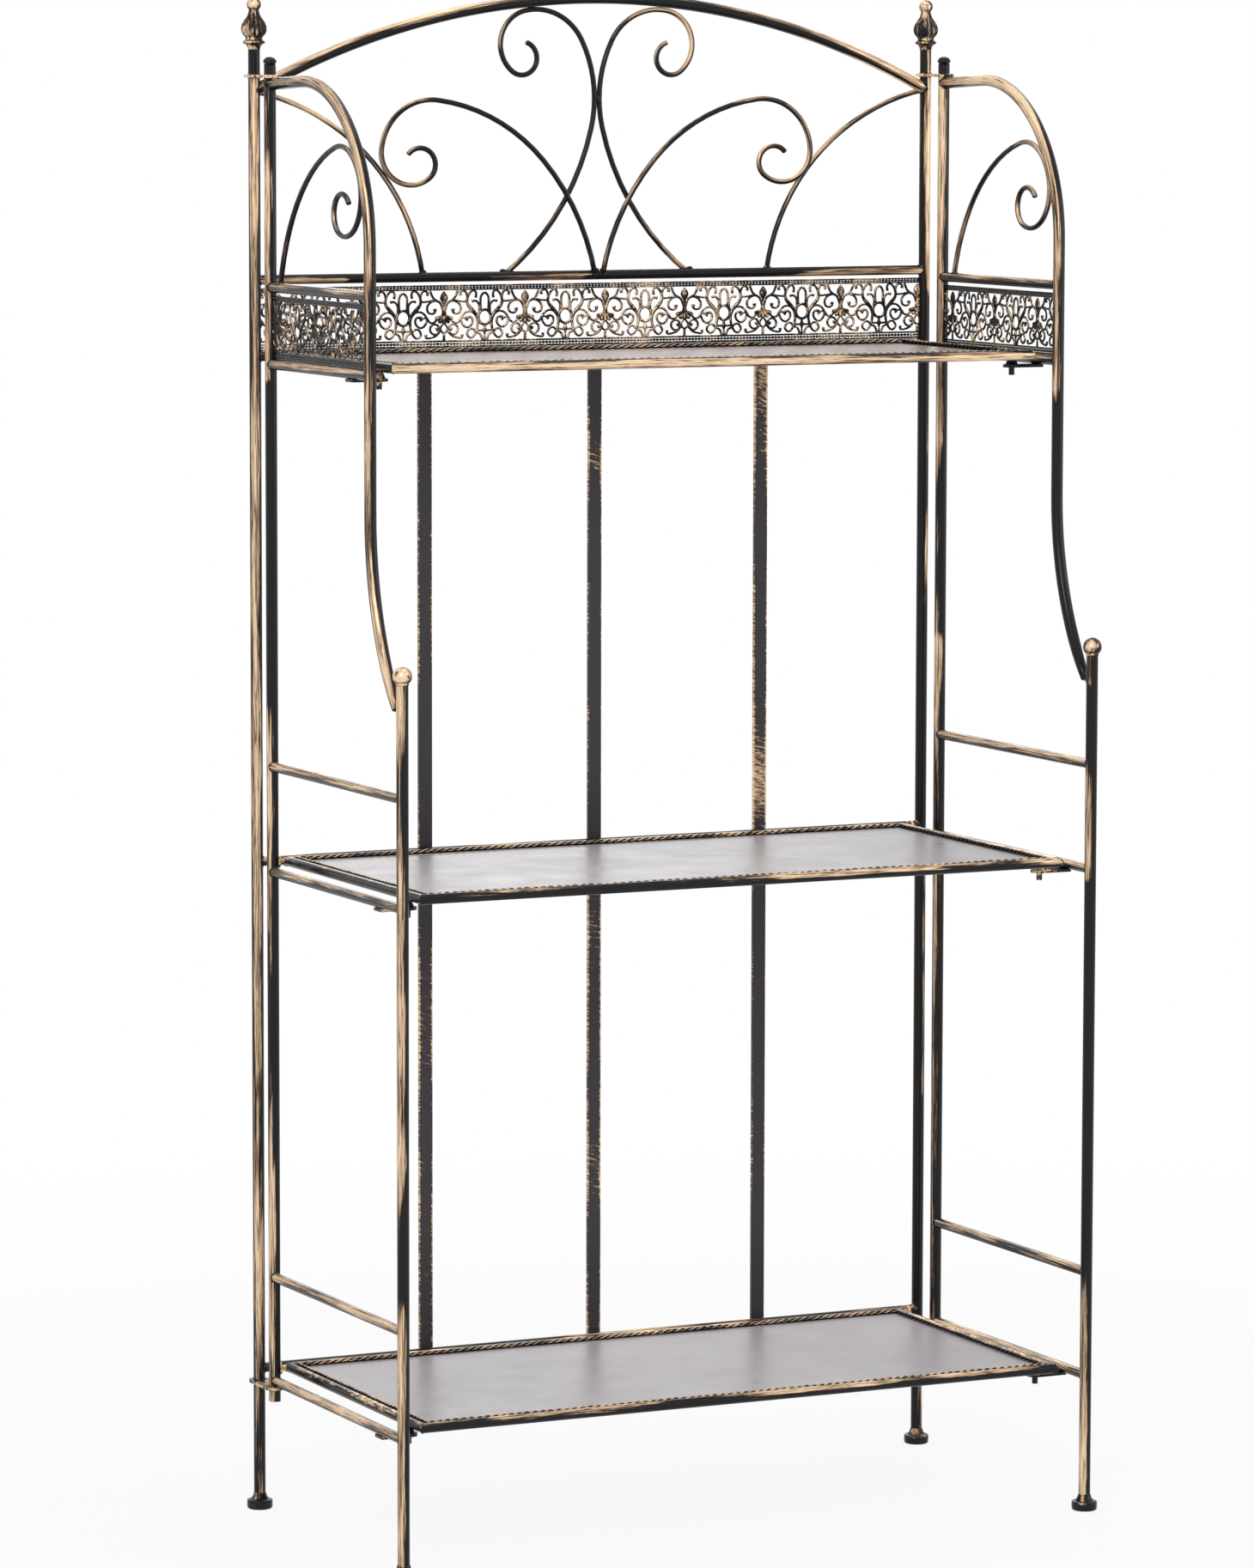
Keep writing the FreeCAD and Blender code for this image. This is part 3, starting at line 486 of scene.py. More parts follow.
towardRoom, outward, inward = (-0.48, -0.88, 0.0), (-0.88, -0.48, 0.0), (0.49, -0.87, 0.0)
forward, upward = (-0.1, -0.75, 0.65), (-0.75, -0.3, 0.6)
upDown, leftRight, frontBack = (380.0, 380.0, 10.0), (10.0, 380.0, 380.0), (380.0, 10.0, 380.0)
alongTube, alongRod, alongFrame = (10.0, 380.0, 1.0), (14.0, 480.0, 1.0), (16.0, 60.0, 380.0)
abovePlates = ("Z", 1.458, 1.463, -0.7)
rubbedFinishes = {
    "leftPostPaint": dict(
        amount=0.16, streaks=upDown, toward=towardRoom, patchiness=1.0,
        changes=[abovePlates, ("Z", 0.13, 0.20, 0.10)]),
    "rightPostPaint": dict(
        amount=0.14, streaks=upDown, toward=inward,
        changes=[("Z", 0.10, 0.16, -0.28), ("Z", 1.22, 1.24, 0.6), ("Z", 1.28, 1.30, -0.3)]),
    "leftUprightPaint": dict(
        amount=0.22, streaks=upDown, toward=outward,
        changes=[("Z", 0.80, 0.86, -0.6), ("Z", 1.15, 1.16, 0.6), ("Z", 1.36, 1.39, -0.6)]),
    "rightUprightPaint": dict(
        amount=0.10, streaks=upDown, toward=outward, patchiness=1.2,
        changes=[abovePlates, ("Z", 0.77, 0.79, 0.16), ("Z", 0.87, 0.88, -0.36), ("Z", 1.03, 1.08, 0.4)]),
    "leftFrontPostPaint": dict(
        amount=0.36, streaks=upDown, toward=(-0.80, -0.60, 0.0), patchiness=1.0,
        changes=[("Z", 0.27, 0.29, -0.30), ("Z", 0.37, 0.41, 0.34), ("Z", 0.70, 0.74, -0.14),
                 ("Z", 0.80, 0.84, 0.12)]),
    "rightFrontPostPaint": dict(
        amount=0.34, streaks=upDown, toward=outward, patchiness=1.0,
        changes=[("Z", 0.22, 0.26, -0.55), ("Z", 0.645, 0.653, 0.38), ("Z", 0.755, 0.775, -0.38),
                 ("Z", 0.845, 0.852, 0.4)]),
    "upperRailPaint": dict(
        amount=0.42, streaks=leftRight, toward=(-0.2, -0.93, -0.3), patchiness=1.0,
        changes=[("X", -0.285, -0.275, -0.5), ("X", -0.15, -0.12, 0.4), ("X", -0.02, 0.0, -0.45),
                 ("X", 0.22, 0.26, 0.5)]),
    "crossRailPaint": dict(
        amount=0.20, streaks=leftRight, toward=forward, patchiness=2.0,
        changes=[("X", 0.05, 0.25, 0.18), ("X", -0.345, -0.32, -0.2)]),
    "sideRailPaint": dict(amount=0.28, streaks=frontBack, toward=upward),
    "guardRailPaint": dict(amount=0.35, streaks=frontBack, toward=upward, patchiness=1.2),
    "topShelfTubePaint": dict(
        amount=0.50, streaks=(12.0, 60.0, 380.0), toward=(-0.3, -0.95, -0.1), patchiness=0.8),
    "middleShelfTubePaint": dict(
        amount=0.20, streaks=alongFrame, toward=(-0.35, -0.6, 0.7), patchiness=1.4,
        changes=[("X", -0.03, 0.04, 0.40), ("X", -0.352, -0.347, -0.2)]),
    "bottomShelfTubePaint": dict(amount=0.20, streaks=alongFrame, toward=(-0.4, -0.45, 0.8), patchiness=2.2),
    "slatPaint": dict(
        amount=0.54, streaks=(70.0, 70.0, 420.0), toward=(0.0, -1.0, 0.0), follow=0.05, slant=-16.0, fade=5.6,
        patches=9.0, changes=[("X slats", 0.0050, 0.0072, 0.44), ("Z", 1.04, 1.07, 0.12)]),
    "archPaint": dict(
        amount=0.36, streaks=alongTube, toward=(-0.3, -0.45, 0.84), along="alongBar", patchiness=1.3,
        changes=[("X", -0.16, -0.02, -0.35), ("X", 0.12, 0.25, 0.66)]),
    "leftNeckPaint": dict(
        amount=0.30, streaks=alongTube, toward=(-0.72, -0.55, 0.42), along="alongBar", patchiness=1.1),
    "rightNeckPaint": dict(
        amount=-0.25, streaks=alongTube, toward=(-0.80, -0.5, 0.3), along="alongBar", patchiness=1.2,
        changes=[("Z", 1.125, 1.145, 0.6), ("Z", 1.35, 1.42, 0.1)]),
    "scrollPaint": dict(
        amount=0.62, streaks=alongRod, toward=(-0.5, -0.6, 0.6), follow=0.6, along="alongBar", patches=9.0,
        changes=[("X", -0.20, -0.17, -0.30), ("X", 0.0, 0.03, 0.32), ("X", 0.17, 0.20, -0.28)]),
    "sideScrollPaint": dict(
        amount=0.26, streaks=alongRod, toward=(-0.6, -0.6, 0.5), follow=0.6, along="alongBar", patches=9.0,
        changes=[("X", -0.1, 0.1, 0.35)]),
    # gold on the upper-left faces of the cast strokes, dark elsewhere: partly the rubbed gold, partly a
    # painted highlight
    "castPaintAndHighlights": dict(
        amount=0.16, streaks=(200.0,) * 3, toward=(-0.5, -0.75, 0.42), follow=1.0, patches=24.0,
        patchiness=1.2),
    "fanPaint": dict(
        amount=0.52, streaks=(200.0,) * 3, toward=(-0.2, -0.95, 0.25), follow=0.6, patches=30.0,
        patchiness=0.6),
    # the rope's gold sits only on the ridges that face up and forward, as a painted highlight on dark paint
    "ropePaintWithHighlights": dict(
        amount=-0.10, streaks=(40.0, 420.0, 1.0), toward=(-0.25, -0.5, 0.83), follow=1.4, along="alongBar",
        patches=12.0, patchiness=0.9),
    # above 0.81 m the knobs carry more gold on their upper-left side: a painted highlight on the ball, with
    # its lower right left dark as painted shade
    "fittingPaint": dict(
        amount=0.32, streaks=(60.0, 60.0, 40.0), toward=(-0.6, -0.6, 0.45), patches=30.0, patchiness=1.2,
        changes=[abovePlates, ("Z", 0.8, 0.81, 0.30), ("X", -0.1, 0.1, -0.2)]),
    "finialPaint": dict(
        amount=0.22, streaks=(260.0, 260.0, 50.0), toward=(-0.7, -0.7, 0.15), patches=40.0,
        changes=[("Z", 1.526, 1.530, 0.36)]),
    "weldPaint": dict(
        amount=0.36, streaks=(240.0,) * 3, toward=(-0.5, -0.5, 0.7), follow=0.6, patches=20.0),
    "hingePaint": dict(
        amount=0.50, streaks=(120.0,) * 3, toward=(-0.5, -0.7, 0.5), follow=0.7, patches=30.0,
        changes=[("Y", 0.13, 0.135, 0.25)]),
    "pinPaint": dict(
        amount=0.26, streaks=(120.0,) * 3, toward=(-0.5, -0.6, 0.6), follow=0.7, patches=30.0),
}
finishes = {name: rubbedPaint(name, **look) for name, look in rubbedFinishes.items()}
# one sheet finish per shelf, each in its own colour of painted light
for level, colour in enamel["colours"].items():
    finishes[level + "SheetPaint"] = sheetPaint(level + "SheetPaint", colour)
print("stage: finishes mixed,", len(finishes))

nodeFinishes = {
    "back_post_left": "leftPostPaint", "back_post_right": "rightPostPaint",
    "back_upper_rail": "upperRailPaint", "back_slat_left": "slatPaint", "back_slat_centre": "slatPaint",
    "back_slat_right": "slatPaint", "hinge_plates_top": "hingePaint", "hinge_plates_bottom": "hingePaint",
    "shelf_pivot_lugs": "hingePaint",
}
for _, name in sideFrames:
    nodeFinishes.update({
        name + "_upright": name + "UprightPaint", name + "_front_post": name + "FrontPostPaint",
        name + "_upper_rail": "sideRailPaint", name + "_guard_rails": "guardRailPaint",
        name + "_pin_tabs": "pinPaint",
    })
for level in rack["shelfHeights"]:
    nodeFinishes.update({
        "back_rail_" + level: "crossRailPaint", "left_rail_" + level: "sideRailPaint",
        "right_rail_" + level: "sideRailPaint", "shelf_" + level + "_frame": level + "ShelfTubePaint",
        "shelf_" + level + "_sheet": level + "SheetPaint", "shelf_" + level + "_drop_pins": "pinPaint",
        "shelf_" + level + "_pivot_pins": "hingePaint",
    })


def dressNodes():
    # gives every CAD node that stays in view its finish
    for node, finish in nodeFinishes.items():
        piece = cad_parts[node]
        if not piece.material_slots:
            piece.data.materials.append(finishes[finish])
        for slot in piece.material_slots:
            slot.material = finishes[finish]


dressNodes()
print("stage: CAD nodes dressed,", len(nodeFinishes))

arch = {"endHeight": 1446.0, "endSlope": 0.46, "rise": 94.0, "radius": 5.9, "steps": 72}


def topArch():
    half, rise = rack["halfWidth"], arch["rise"]
    radius = (half ** 2 + rise ** 2) / (2 * rise)
    centre = arch["endHeight"] + rise - radius
    halfAngle = math.asin(half / radius)
    line = []
    for index in range(arch["steps"] + 1):
        a = halfAngle * (2 * index / arch["steps"] - 1)
        line.append((radius * math.sin(a), rack["backY"], centre + radius * math.cos(a)))
    bm = bmesh.new()
    sweep(bm, line, arch["radius"], rack["tubeSides"], normal=(0, 1, 0))
    finishPiece("topArchTube", bm, "back_frame", "frame_tube", "archPaint", ["top_arch"])


swanNeck = {
    "height": 1453.0,
    "rise": 2.5,  # degrees that it climbs from the upright, and the same as a slope
    "slope": 0.044,
    "run": 82.0,
    "topBend": (160.0, -92.5),
    "down": 258.3,
    "toeBend": (300.0, 37.6),
    "pinch": (0.99, 0.95, 0.88, 0.78),  # the toe narrows where it is pressed and welded on
    # weld drops at the toe: how far behind the front post's middle, height and size
    "toeWelds": ((8.2, 860.0, 4.2), (8.0, 854.5, 3.8)),
}


def onSide(side, reach, height):
    # a point of a side frame, by its distance forward of the upright
    return (side * rack["halfWidth"], rack["uprightY"] - reach, height)


def swanNecks():
    runs = [(None, swanNeck["run"]), swanNeck["topBend"], (None, swanNeck["down"]), swanNeck["toeBend"]]
    plan = bentLine((0.0, swanNeck["height"]), swanNeck["rise"], runs, step=3.0)
    pinched = [rack["tubeRadius"] * share for share in swanNeck["pinch"]]
    radii = [rack["tubeRadius"]] * (len(plan) - len(pinched)) + pinched
    for side, name in sideFrames:
        bm = bmesh.new()
        line = [onSide(side, reach, height) for reach, height in plan]
        sweep(bm, line, radii, rack["tubeSides"], normal=(1, 0, 0))
        finishPiece(name + "SwanNeckTube", bm, "side_" + name, "frame_tube", name + "NeckPaint",
                    [name + "_swan_neck"])


topArch()
swanNecks()
print("stage: arch and swan necks bent")

scrolls = {
    "rearY": 185.0,
    "frontY": 179.5,
    "touchHeight": 1437.66,
    "centreUp": [(130.0, 27.0), (58.0, 76.0), (35.0, 129.0), (17.0, 199.0)],
    "centreDown": [(130.0, -13.0), (259.25, -41.0)],
    "largeStart": 4.2,
    "largeHeading": 101.0,
    "large": [(246.0, 31.0), (191.0, 41.0), (55.5, 91.0), (33.0, 134.0), (17.0, 192.0)],
    "cornerHeading": -11.0,
    "corner": [(245.0, -25.0), (219.02, -46.0)],
    "sideStart": 25.08,
    "sideHeading": 77.3,
    "side": [(189.0, -63.6), (52.0, -82.3), (40.0, -132.0), (20.0, -216.0)],
}


def backScroll(name, plan, depth, node):
    # a rod and its mirror image, in a plane of the back frame
    bm = bmesh.new()
    for side in (1, -1):
        line = [(side * x, depth, z) for x, z in plan]
        sweep(bm, line, rack["rodRadius"], rack["rodSides"], normal=(0, 1, 0))
    finishPiece(name, bm, "back_frame", "scrollwork", "scrollPaint", [node])


def scrollPlans():
    # the left rods of the back frame: the central one's upper and lower part, the large and the corner one
    touch = (-rack["rodRadius"], scrolls["touchHeight"])
    largeFoot = (-scrolls["largeStart"], rack["upperRail"])
    cornerTop = (-rack["halfWidth"], arch["endHeight"])
    return (bentLine(touch, 90.0, scrolls["centreUp"], step=5.0),
            bentLine(touch, -90.0, scrolls["centreDown"], step=5.0),
            bentLine(largeFoot, scrolls["largeHeading"], scrolls["large"], step=5.0),
            bentLine(cornerTop, scrolls["cornerHeading"], scrolls["corner"], step=4.0))


def backScrolls():
    up, down, large, corner = scrollPlans()
    backScroll("centreScrollRods", down[::-1] + up[1:], scrolls["rearY"], "scrolls_centre")
    backScroll("largeScrollRods", large, scrolls["frontY"], "scrolls_large")
    backScroll("cornerScrollRods", corner, scrolls["rearY"], "scrolls_corner")


def sideScrolls():
    foot = (scrolls["sideStart"], rack["sideUpperRail"])
    plan = bentLine(foot, scrolls["sideHeading"], scrolls["side"], step=5.0)
    for side, name in sideFrames:
        bm = bmesh.new()
        line = [onSide(side, reach, height) for reach, height in plan]
        sweep(bm, line, rack["rodRadius"], rack["rodSides"], normal=(1, 0, 0))
        finishPiece(name + "ScrollRod", bm, "side_" + name, "scrollwork", "sideScrollPaint",
                    [name + "_scroll"])


backScrolls()
sideScrolls()
print("stage: scrolls bent")

filigree = {
    "period": 91.0,
    "backDepth": 1.5,
    "sideDepth": 0.85,
    "backFoot": 1185.0,
    "sideFoot": 1179.0,
    "wire": 1.28,
    "wireSides": 6,
    "thinnest": 0.3,
    "strokeSteps": 3,
    # plain wires along the rims: height and radius; beaded ones: height, bead and neck radius
    "plainRims": [(1.2, 1.2), (6.7, 1.1), (59.2, 1.0), (63.1, 0.9)],
    "beadedRims": [(4.0, 1.85, 0.6), (61.2, 1.6, 0.5)],
    "plainSteps": 8,
    "pearlPitch": 3.7,
    # strokes of the leaf unit about its stem; each row is x, z and, where it isn't 1, the width there as a
    # share of the wire
    "leafStrokes": [
        [(-0.4, 36.1, 1.1), (-4, 45.4), (-8.8, 48.4), (-12.4, 51.4), (-15.4, 58, 1.1)],
        [(-4, 45.4), (-8.8, 47.9), (-15.4, 46), (-18.7, 41.4), (-17.6, 36.1), (-13.2, 34.6),
         (-10.2, 36.4, 1.1), (-10.2, 39.4, 1.7)],
        [(-11.3, 48.4), (-18, 47.2, 0.9), (-24.9, 47), (-26.4, 50.2), (-25.6, 53.8), (-24.2, 56.7),
         (-21.2, 57.9), (-18.3, 56), (-18.6, 53.4, 1.4)],
        [(-4, 17.4), (-9, 12.2), (-15.4, 10.1), (-19.8, 10.1), (-20.1, 13.4, 1.3)],
        [(-5.2, 17.4, 0.9), (-7.6, 14.2), (-11.8, 13.7), (-15.2, 17.0), (-14.9, 21.4), (-11.3, 24.0),
         (-7.2, 22.9), (-6.0, 20.2, 1.1), (-8.4, 18.6, 1.7)],
        [(-18.7, 30.1), (-16.1, 26.1), (-11.7, 25.4), (-8.4, 28.1), (-5.0, 30.5)],
        [(-26.4, 27.4, 0.9), (-22.5, 30.4, 0.9), (-18.7, 30.1)],
        [(0, 25.4, 0.8), (-3.2, 21.5, 0.9), (-4, 18.8), (-2.4, 16.2, 0.9), (0, 14.8, 0.9)],
    ],
    "leafStems": [
        [(0, 33.4, 2.2), (0, 42.7), (0, 45.0, 1.4), (0, 47.5, 2.6), (0, 50.0, 3.5), (0, 52.5, 3.2),
         (0, 55.0, 2.0), (0, 57.5, 0.4)],
        [(0, 14.8), (0, 7.0, 1.2)],
    ],
    # strokes of the ring unit about its middle
    "ringStrokes": [
        [(-4, 37.5), (-4.6, 45), (-4, 52), (0, 55.6, 1.1), (4, 52), (4.6, 45), (4, 37.5)],
        [(0, 23.2, 0.9), (0, 20.0, 1.2), (0, 17.5, 2.0), (0, 15.0, 1.2), (0, 12.4, 0.6)],
        [(-9.5, 17.4), (0, 17.0), (9.5, 17.4)],
        [(0, 13, 0.7), (0, 7)],
    ],
    "ringPairs": [
        [(9.9, 50.7, 1.2), (9.5, 55.4), (12.1, 58), (16.1, 56), (19.4, 50, 1.1), (19, 44, 1.3),
         (14.6, 38.7, 1.7), (9.9, 33.4, 1.5), (7.7, 27.4, 1.3), (8.1, 21.4, 1.1), (9.5, 16.1, 1.1),
         (12.4, 11.4), (16.1, 9.8), (19.8, 13.4), (17.6, 18.1), (13.2, 18.8), (9.5, 15.4), (5.1, 13.4),
         (2.9, 8.8), (2.6, 6.5)],
        [(9.5, 32), (13.9, 36.1), (19.8, 36.4), (24.9, 32.7), (26.4, 27.4), (23.4, 22.1), (19, 20.4),
         (14.6, 23.4), (13.5, 28.1), (16.1, 31.1), (20.1, 30.2, 1.7)],
        [(6.2, 34.7), (5.9, 42.7), (9.5, 47.2), (13.9, 47, 1.3)],
    ],
    "ring": {"height": 30.7, "radii": (7.1, 7.6), "steps": 22, "width": 1.25},
    "fanRibs": 5,
    "fanSpread": 66.0,
    "fanLengths": (9.6, 10.4),
    "fanFoot": 33.6,
    # share of the way along a rib, and its width there
    "petal": [(0.0, 0.8), (0.4, 1.1), (0.8, 1.75), (0.92, 1.6), (1.0, 0.9)],
    "firstStem": 9.0,
}


def bandStroke(bm, offset, stroke, mirror=False, finish=0):
    # one cast stroke, beside a stem or a middle at the offset
    rows = [(x, z, *(width or [1.0])) for x, z, *width in stroke]
    line = smoothLine(rows, filigree["strokeSteps"])
    points = [(offset + (-x if mirror else x), 0.0, z) for x, z, _ in line]
    radii = [filigree["wire"] * max(width, filigree["thinnest"]) for _, _, width in line]
    sweep(bm, points, radii, filigree["wireSides"], normal=(0, 1, 0), finish=finish)


def bandUnit(bm, stem):
    # one leaf with its fan, and the ring that stands after it
    middle = stem + filigree["period"] / 2
    for mirror in (False, True):
        for stroke in filigree["leafStrokes"]:
            bandStroke(bm, stem, stroke, mirror)
        for stroke in filigree["ringPairs"]:
            bandStroke(bm, middle, stroke, mirror)
    for stroke in filigree["leafStems"]:
        bandStroke(bm, stem, stroke, finish=1)
    for stroke in filigree["ringStrokes"]:
        bandStroke(bm, middle, stroke)
    ring = filigree["ring"]
    wide, tall = ring["radii"]
    line = [(middle + wide * cos, 0.0, ring["height"] + tall * sin) for cos, sin in circle(ring["steps"])]
    sweep(bm, line, filigree["wire"] * ring["width"], filigree["wireSides"], closed=True, normal=(0, 1, 0))
    short, long = filigree["fanLengths"]
    for index in range(filigree["fanRibs"]):
        share = 2 * index / (filigree["fanRibs"] - 1) - 1
        a = math.radians(filigree["fanSpread"] * share)
        length = short + (long - short) * abs(share)
        petal = [(part * length * math.sin(a), filigree["fanFoot"] - part * length * math.cos(a), width)
                 for part, width in filigree["petal"]]
        bandStroke(bm, stem, petal, finish=1)


def bandRim(bm, length, height, pitch, bead, neck):
    # a straight wire, thicker at each bead
    count = int(length / pitch) * 2
    line = [(length * index / count, 0.0, height) for index in range(count + 1)]
    radii = [bead if index % 2 else neck for index in range(count + 1)]
    sweep(bm, line, radii, filigree["wireSides"], normal=(0, 1, 0))


def filigreeBand(name, length, firstStem, deep, place, body, node):
    # deep is how far the round strokes may stand out, and place puts a point of the flat band on its frame
    bm = bmesh.new()
    for index in range(-1, int(length / filigree["period"]) + 2):
        bandUnit(bm, firstStem + index * filigree["period"])
    for cut, way in ((0.0, -1.0), (length, 1.0)):
        bmesh.ops.bisect_plane(bm, geom=bm.verts[:] + bm.edges[:] + bm.faces[:], plane_co=(cut, 0, 0),
                               plane_no=(way, 0, 0), clear_outer=True)
    for height, radius in filigree["plainRims"]:
        bandRim(bm, length, height, length / filigree["plainSteps"], radius, radius)
    for height, bead, neck in filigree["beadedRims"]:
        bandRim(bm, length, height, filigree["pearlPitch"], bead, neck)
    for vert in bm.verts:
        x, y, z = vert.co
        vert.co = place(x, deep * math.tanh(y / deep), z)
    bmesh.ops.recalc_face_normals(bm, faces=bm.faces)
    finishPiece(name, bm, body, "filigree", "castPaintAndHighlights", [node], "fanPaint")


def filigreeBands():
    half, tube = rack["halfWidth"], rack["tubeRadius"]
    inner = 2 * (half - tube)
    filigreeBand("backFiligree", inner, (half - tube + filigree["firstStem"]) % filigree["period"],
                 filigree["backDepth"],
                 lambda x, y, z: Vector((x - half + tube, rack["backY"] + y, filigree["backFoot"] + z)),
                 "back_frame", "back_filigree")
    reach = rack["neckReach"] - 2 * tube
    for side, name in sideFrames:
        filigreeBand(name + "Filigree", reach, half % filigree["period"], filigree["sideDepth"],
                     lambda x, y, z: Vector((side * (half + y), rack["uprightY"] - tube - x,
                                             filigree["sideFoot"] + z)),
                     "side_" + name, name + "_filigree")


filigreeBands()
print("stage: filigree bands cast")

rope = {
    "halfX": 345.2,
    "rearY": 165.2,
    "frontY": {"top": -91.1, "middle": -158.2, "bottom": -158.2},
    "rise": 3.4,
    "pitch": 17.2,
    "strand": 1.25,
    "offset": 1.20,  # from the middle of the rope to the middle of a strand
    "stepsPerTurn": 9,
    "strandSides": 7,
}


def ropeRun(bm, start, end):
    # two strands wound round each other along one edge of a sheet
    start, end = Vector(start), Vector(end)
    along = (end - start).normalized()
    up = Vector((0, 0, 1))
    across = along.cross(up)
    length = (end - start).length
    steps = int(length / rope["pitch"] * rope["stepsPerTurn"])
    for strand in (0.0, math.pi):
        line = []
        for index in range(steps + 1):
            a = strand + 2 * math.pi * index / rope["stepsPerTurn"]
            swing = (across * math.cos(a) + up * math.sin(a)) * rope["offset"]
            line.append(start + along * (length * index / steps) + swing)
        sweep(bm, line, rope["strand"], rope["strandSides"])


def ropeTrims():
    half, rear = rope["halfX"], rope["rearY"]
    for level, height in rack["shelfHeights"].items():
        front, z = rope["frontY"][level], height + rope["rise"]
        corners = [(-half, rear, z), (-half, front, z), (half, front, z), (half, rear, z)]
        bm = bmesh.new()
        for start, end in zip(corners, corners[1:] + corners[:1]):
            ropeRun(bm, start, end)
        finishPiece(level + "Rope", bm, "shelf_" + level, "rope_trim", "ropePaintWithHighlights",
                    ["shelf_" + level + "_rope"])


ropeTrims()
print("stage: rope trim twisted")

finial = {
    "foot": 1493.0,
    "ribs": 14,
    "sides": 112,
    # height above the post, radius, depth of the flutes
    "profile": [
        (-6.0, 5.9, 0.0), (-5.0, 6.3, 0.0), (-2.6, 6.8, 0.0), (-0.9, 8.2, 0.0), (0.0, 9.8, 0.0),
        (0.5, 10.8, 0.0), (1.4, 11.3, 0.0), (2.4, 11.3, 0.0), (3.0, 10.6, 0.0), (3.6, 9.4, 0.0),
        (4.6, 8.7, 0.0), (6.2, 8.6, 0.2), (7.6, 9.6, 0.7), (9.4, 11.3, 1.3), (11.6, 12.6, 1.8),
        (14.2, 13.1, 2.0), (17.0, 13.0, 2.0), (19.8, 12.1, 1.8), (22.4, 10.7, 1.5), (24.8, 9.0, 1.1),
        (26.8, 7.5, 0.8), (28.6, 6.5, 0.5), (30.4, 5.8, 0.3), (32.2, 5.4, 0.2), (33.6, 5.1, 0.1),
        (34.4, 5.2, 0.0), (35.0, 5.8, 0.0), (36.4, 6.7, 0.0), (38.2, 7.2, 0.0), (39.8, 7.3, 0.0),
        (41.4, 7.0, 0.0), (43.0, 6.1, 0.0), (44.4, 4.8, 0.0), (45.4, 3.2, 0.0), (46.0, 1.5, 0.0),
        (46.15, 0.4, 0.0),
    ],
}


def finials():
    bm = bmesh.new()
    for side in (-1, 1):
        turned(bm, (side * rack["halfWidth"], rack["backY"], finial["foot"]), finial["profile"],
               finial["sides"], finial["ribs"])
    finishPiece("flutedFinials", bm, "back_frame", "turned_fittings", "finialPaint", ["back_finials"])


finials()
print("stage: finials turned")

fittings = {
    "sides": 56,
    "capFoot": 1463.0,
    "postTop": 881.0,
    # height and radius, from the plate, the top of the post and the floor
    "cap": [(0.0, 5.5), (0.1, 5.7), (11.0, 5.7), (11.3, 6.5), (12.2, 6.8), (13.4, 6.7), (14.6, 6.1),
            (15.8, 5.0), (16.7, 3.5), (17.3, 1.7), (17.45, 0.5)],
    "knob": [(-1.6, 5.95), (-1.3, 6.35), (0.1, 6.6), (0.8, 6.6), (1.1, 6.0), (1.4, 7.4), (2.6, 8.4),
             (4.4, 9.2), (6.6, 9.55), (8.8, 9.4), (11.0, 8.7), (13.0, 7.6), (14.8, 5.8), (16.1, 3.7),
             (16.8, 1.8), (16.95, 0.5)],
    "foot": [(0.0, 11.4), (0.3, 12.2), (1.1, 12.9), (2.2, 13.15), (8.0, 13.15), (8.8, 12.95), (9.3, 12.4),
             (9.5, 10.2), (10.0, 9.4), (11.4, 8.3), (13.4, 7.2), (15.2, 6.6), (16.4, 6.35), (16.6, 5.95)],
}


def endFittings():
    # a domed cap, a ball knob and a disc foot on each side frame, and a foot under each back post
    def fitting(bm, part, x, y, z):
        turned(bm, (x, y, z), [(height, radius, 0.0) for height, radius in fittings[part]], fittings["sides"])

    half = rack["halfWidth"]
    for side, name in sideFrames:
        bm = bmesh.new()
        fitting(bm, "cap", side * half, rack["uprightY"], fittings["capFoot"])
        fitting(bm, "knob", side * half, rack["frontY"], fittings["postTop"])
        fitting(bm, "foot", side * half, rack["frontY"], 0.0)
        finishPiece(name + "EndFittings", bm, "side_" + name, "turned_fittings", "fittingPaint",
                    [name + "_end_fittings"])
    bm = bmesh.new()
    for side in (-1, 1):
        fitting(bm, "foot", side * half, rack["backY"], 0.0)
    finishPiece("discFeet", bm, "back_frame", "turned_fittings", "fittingPaint", ["back_feet"])


endFittings()
print("stage: caps, knobs and feet turned")

welds = {
    "railBead": 0.95,
    "rodBead": 1.0,
    "mitreBead": 0.6,
    "plateBead": 0.75,
    "count": 26,
    "rodCount": 18,
    "plateCount": 24,
    "mitreCount": 22,
    "standOff": 0.3,  # how far a bead stands off the rod or post that it runs round
    # welds on both faces of each hinge plate
    "plateFaces": (1462.5, 1459.5, 134.5, 131.5),
    # drops at a rod's foot, where the rods touch, and at the swan neck's toe: size and stretch
    "rodDrop": (2.4, (1.5, 1.0, 0.8)),
    "dropBack": 1.0,
    "dropRise": 0.6,
    "touchDrop": (3.0, (0.9, 0.8, 1.7)),
    "touchDepth": 1.6,
    "toeStretch": (0.9, 1.2, 1.5),
    # the corner of a shelf frame, from the middle of the rack and from the front of the rope
    "mitreX": 352.0,
    "mitreRearY": 172.0,
    "mitreFront": 6.8,
}


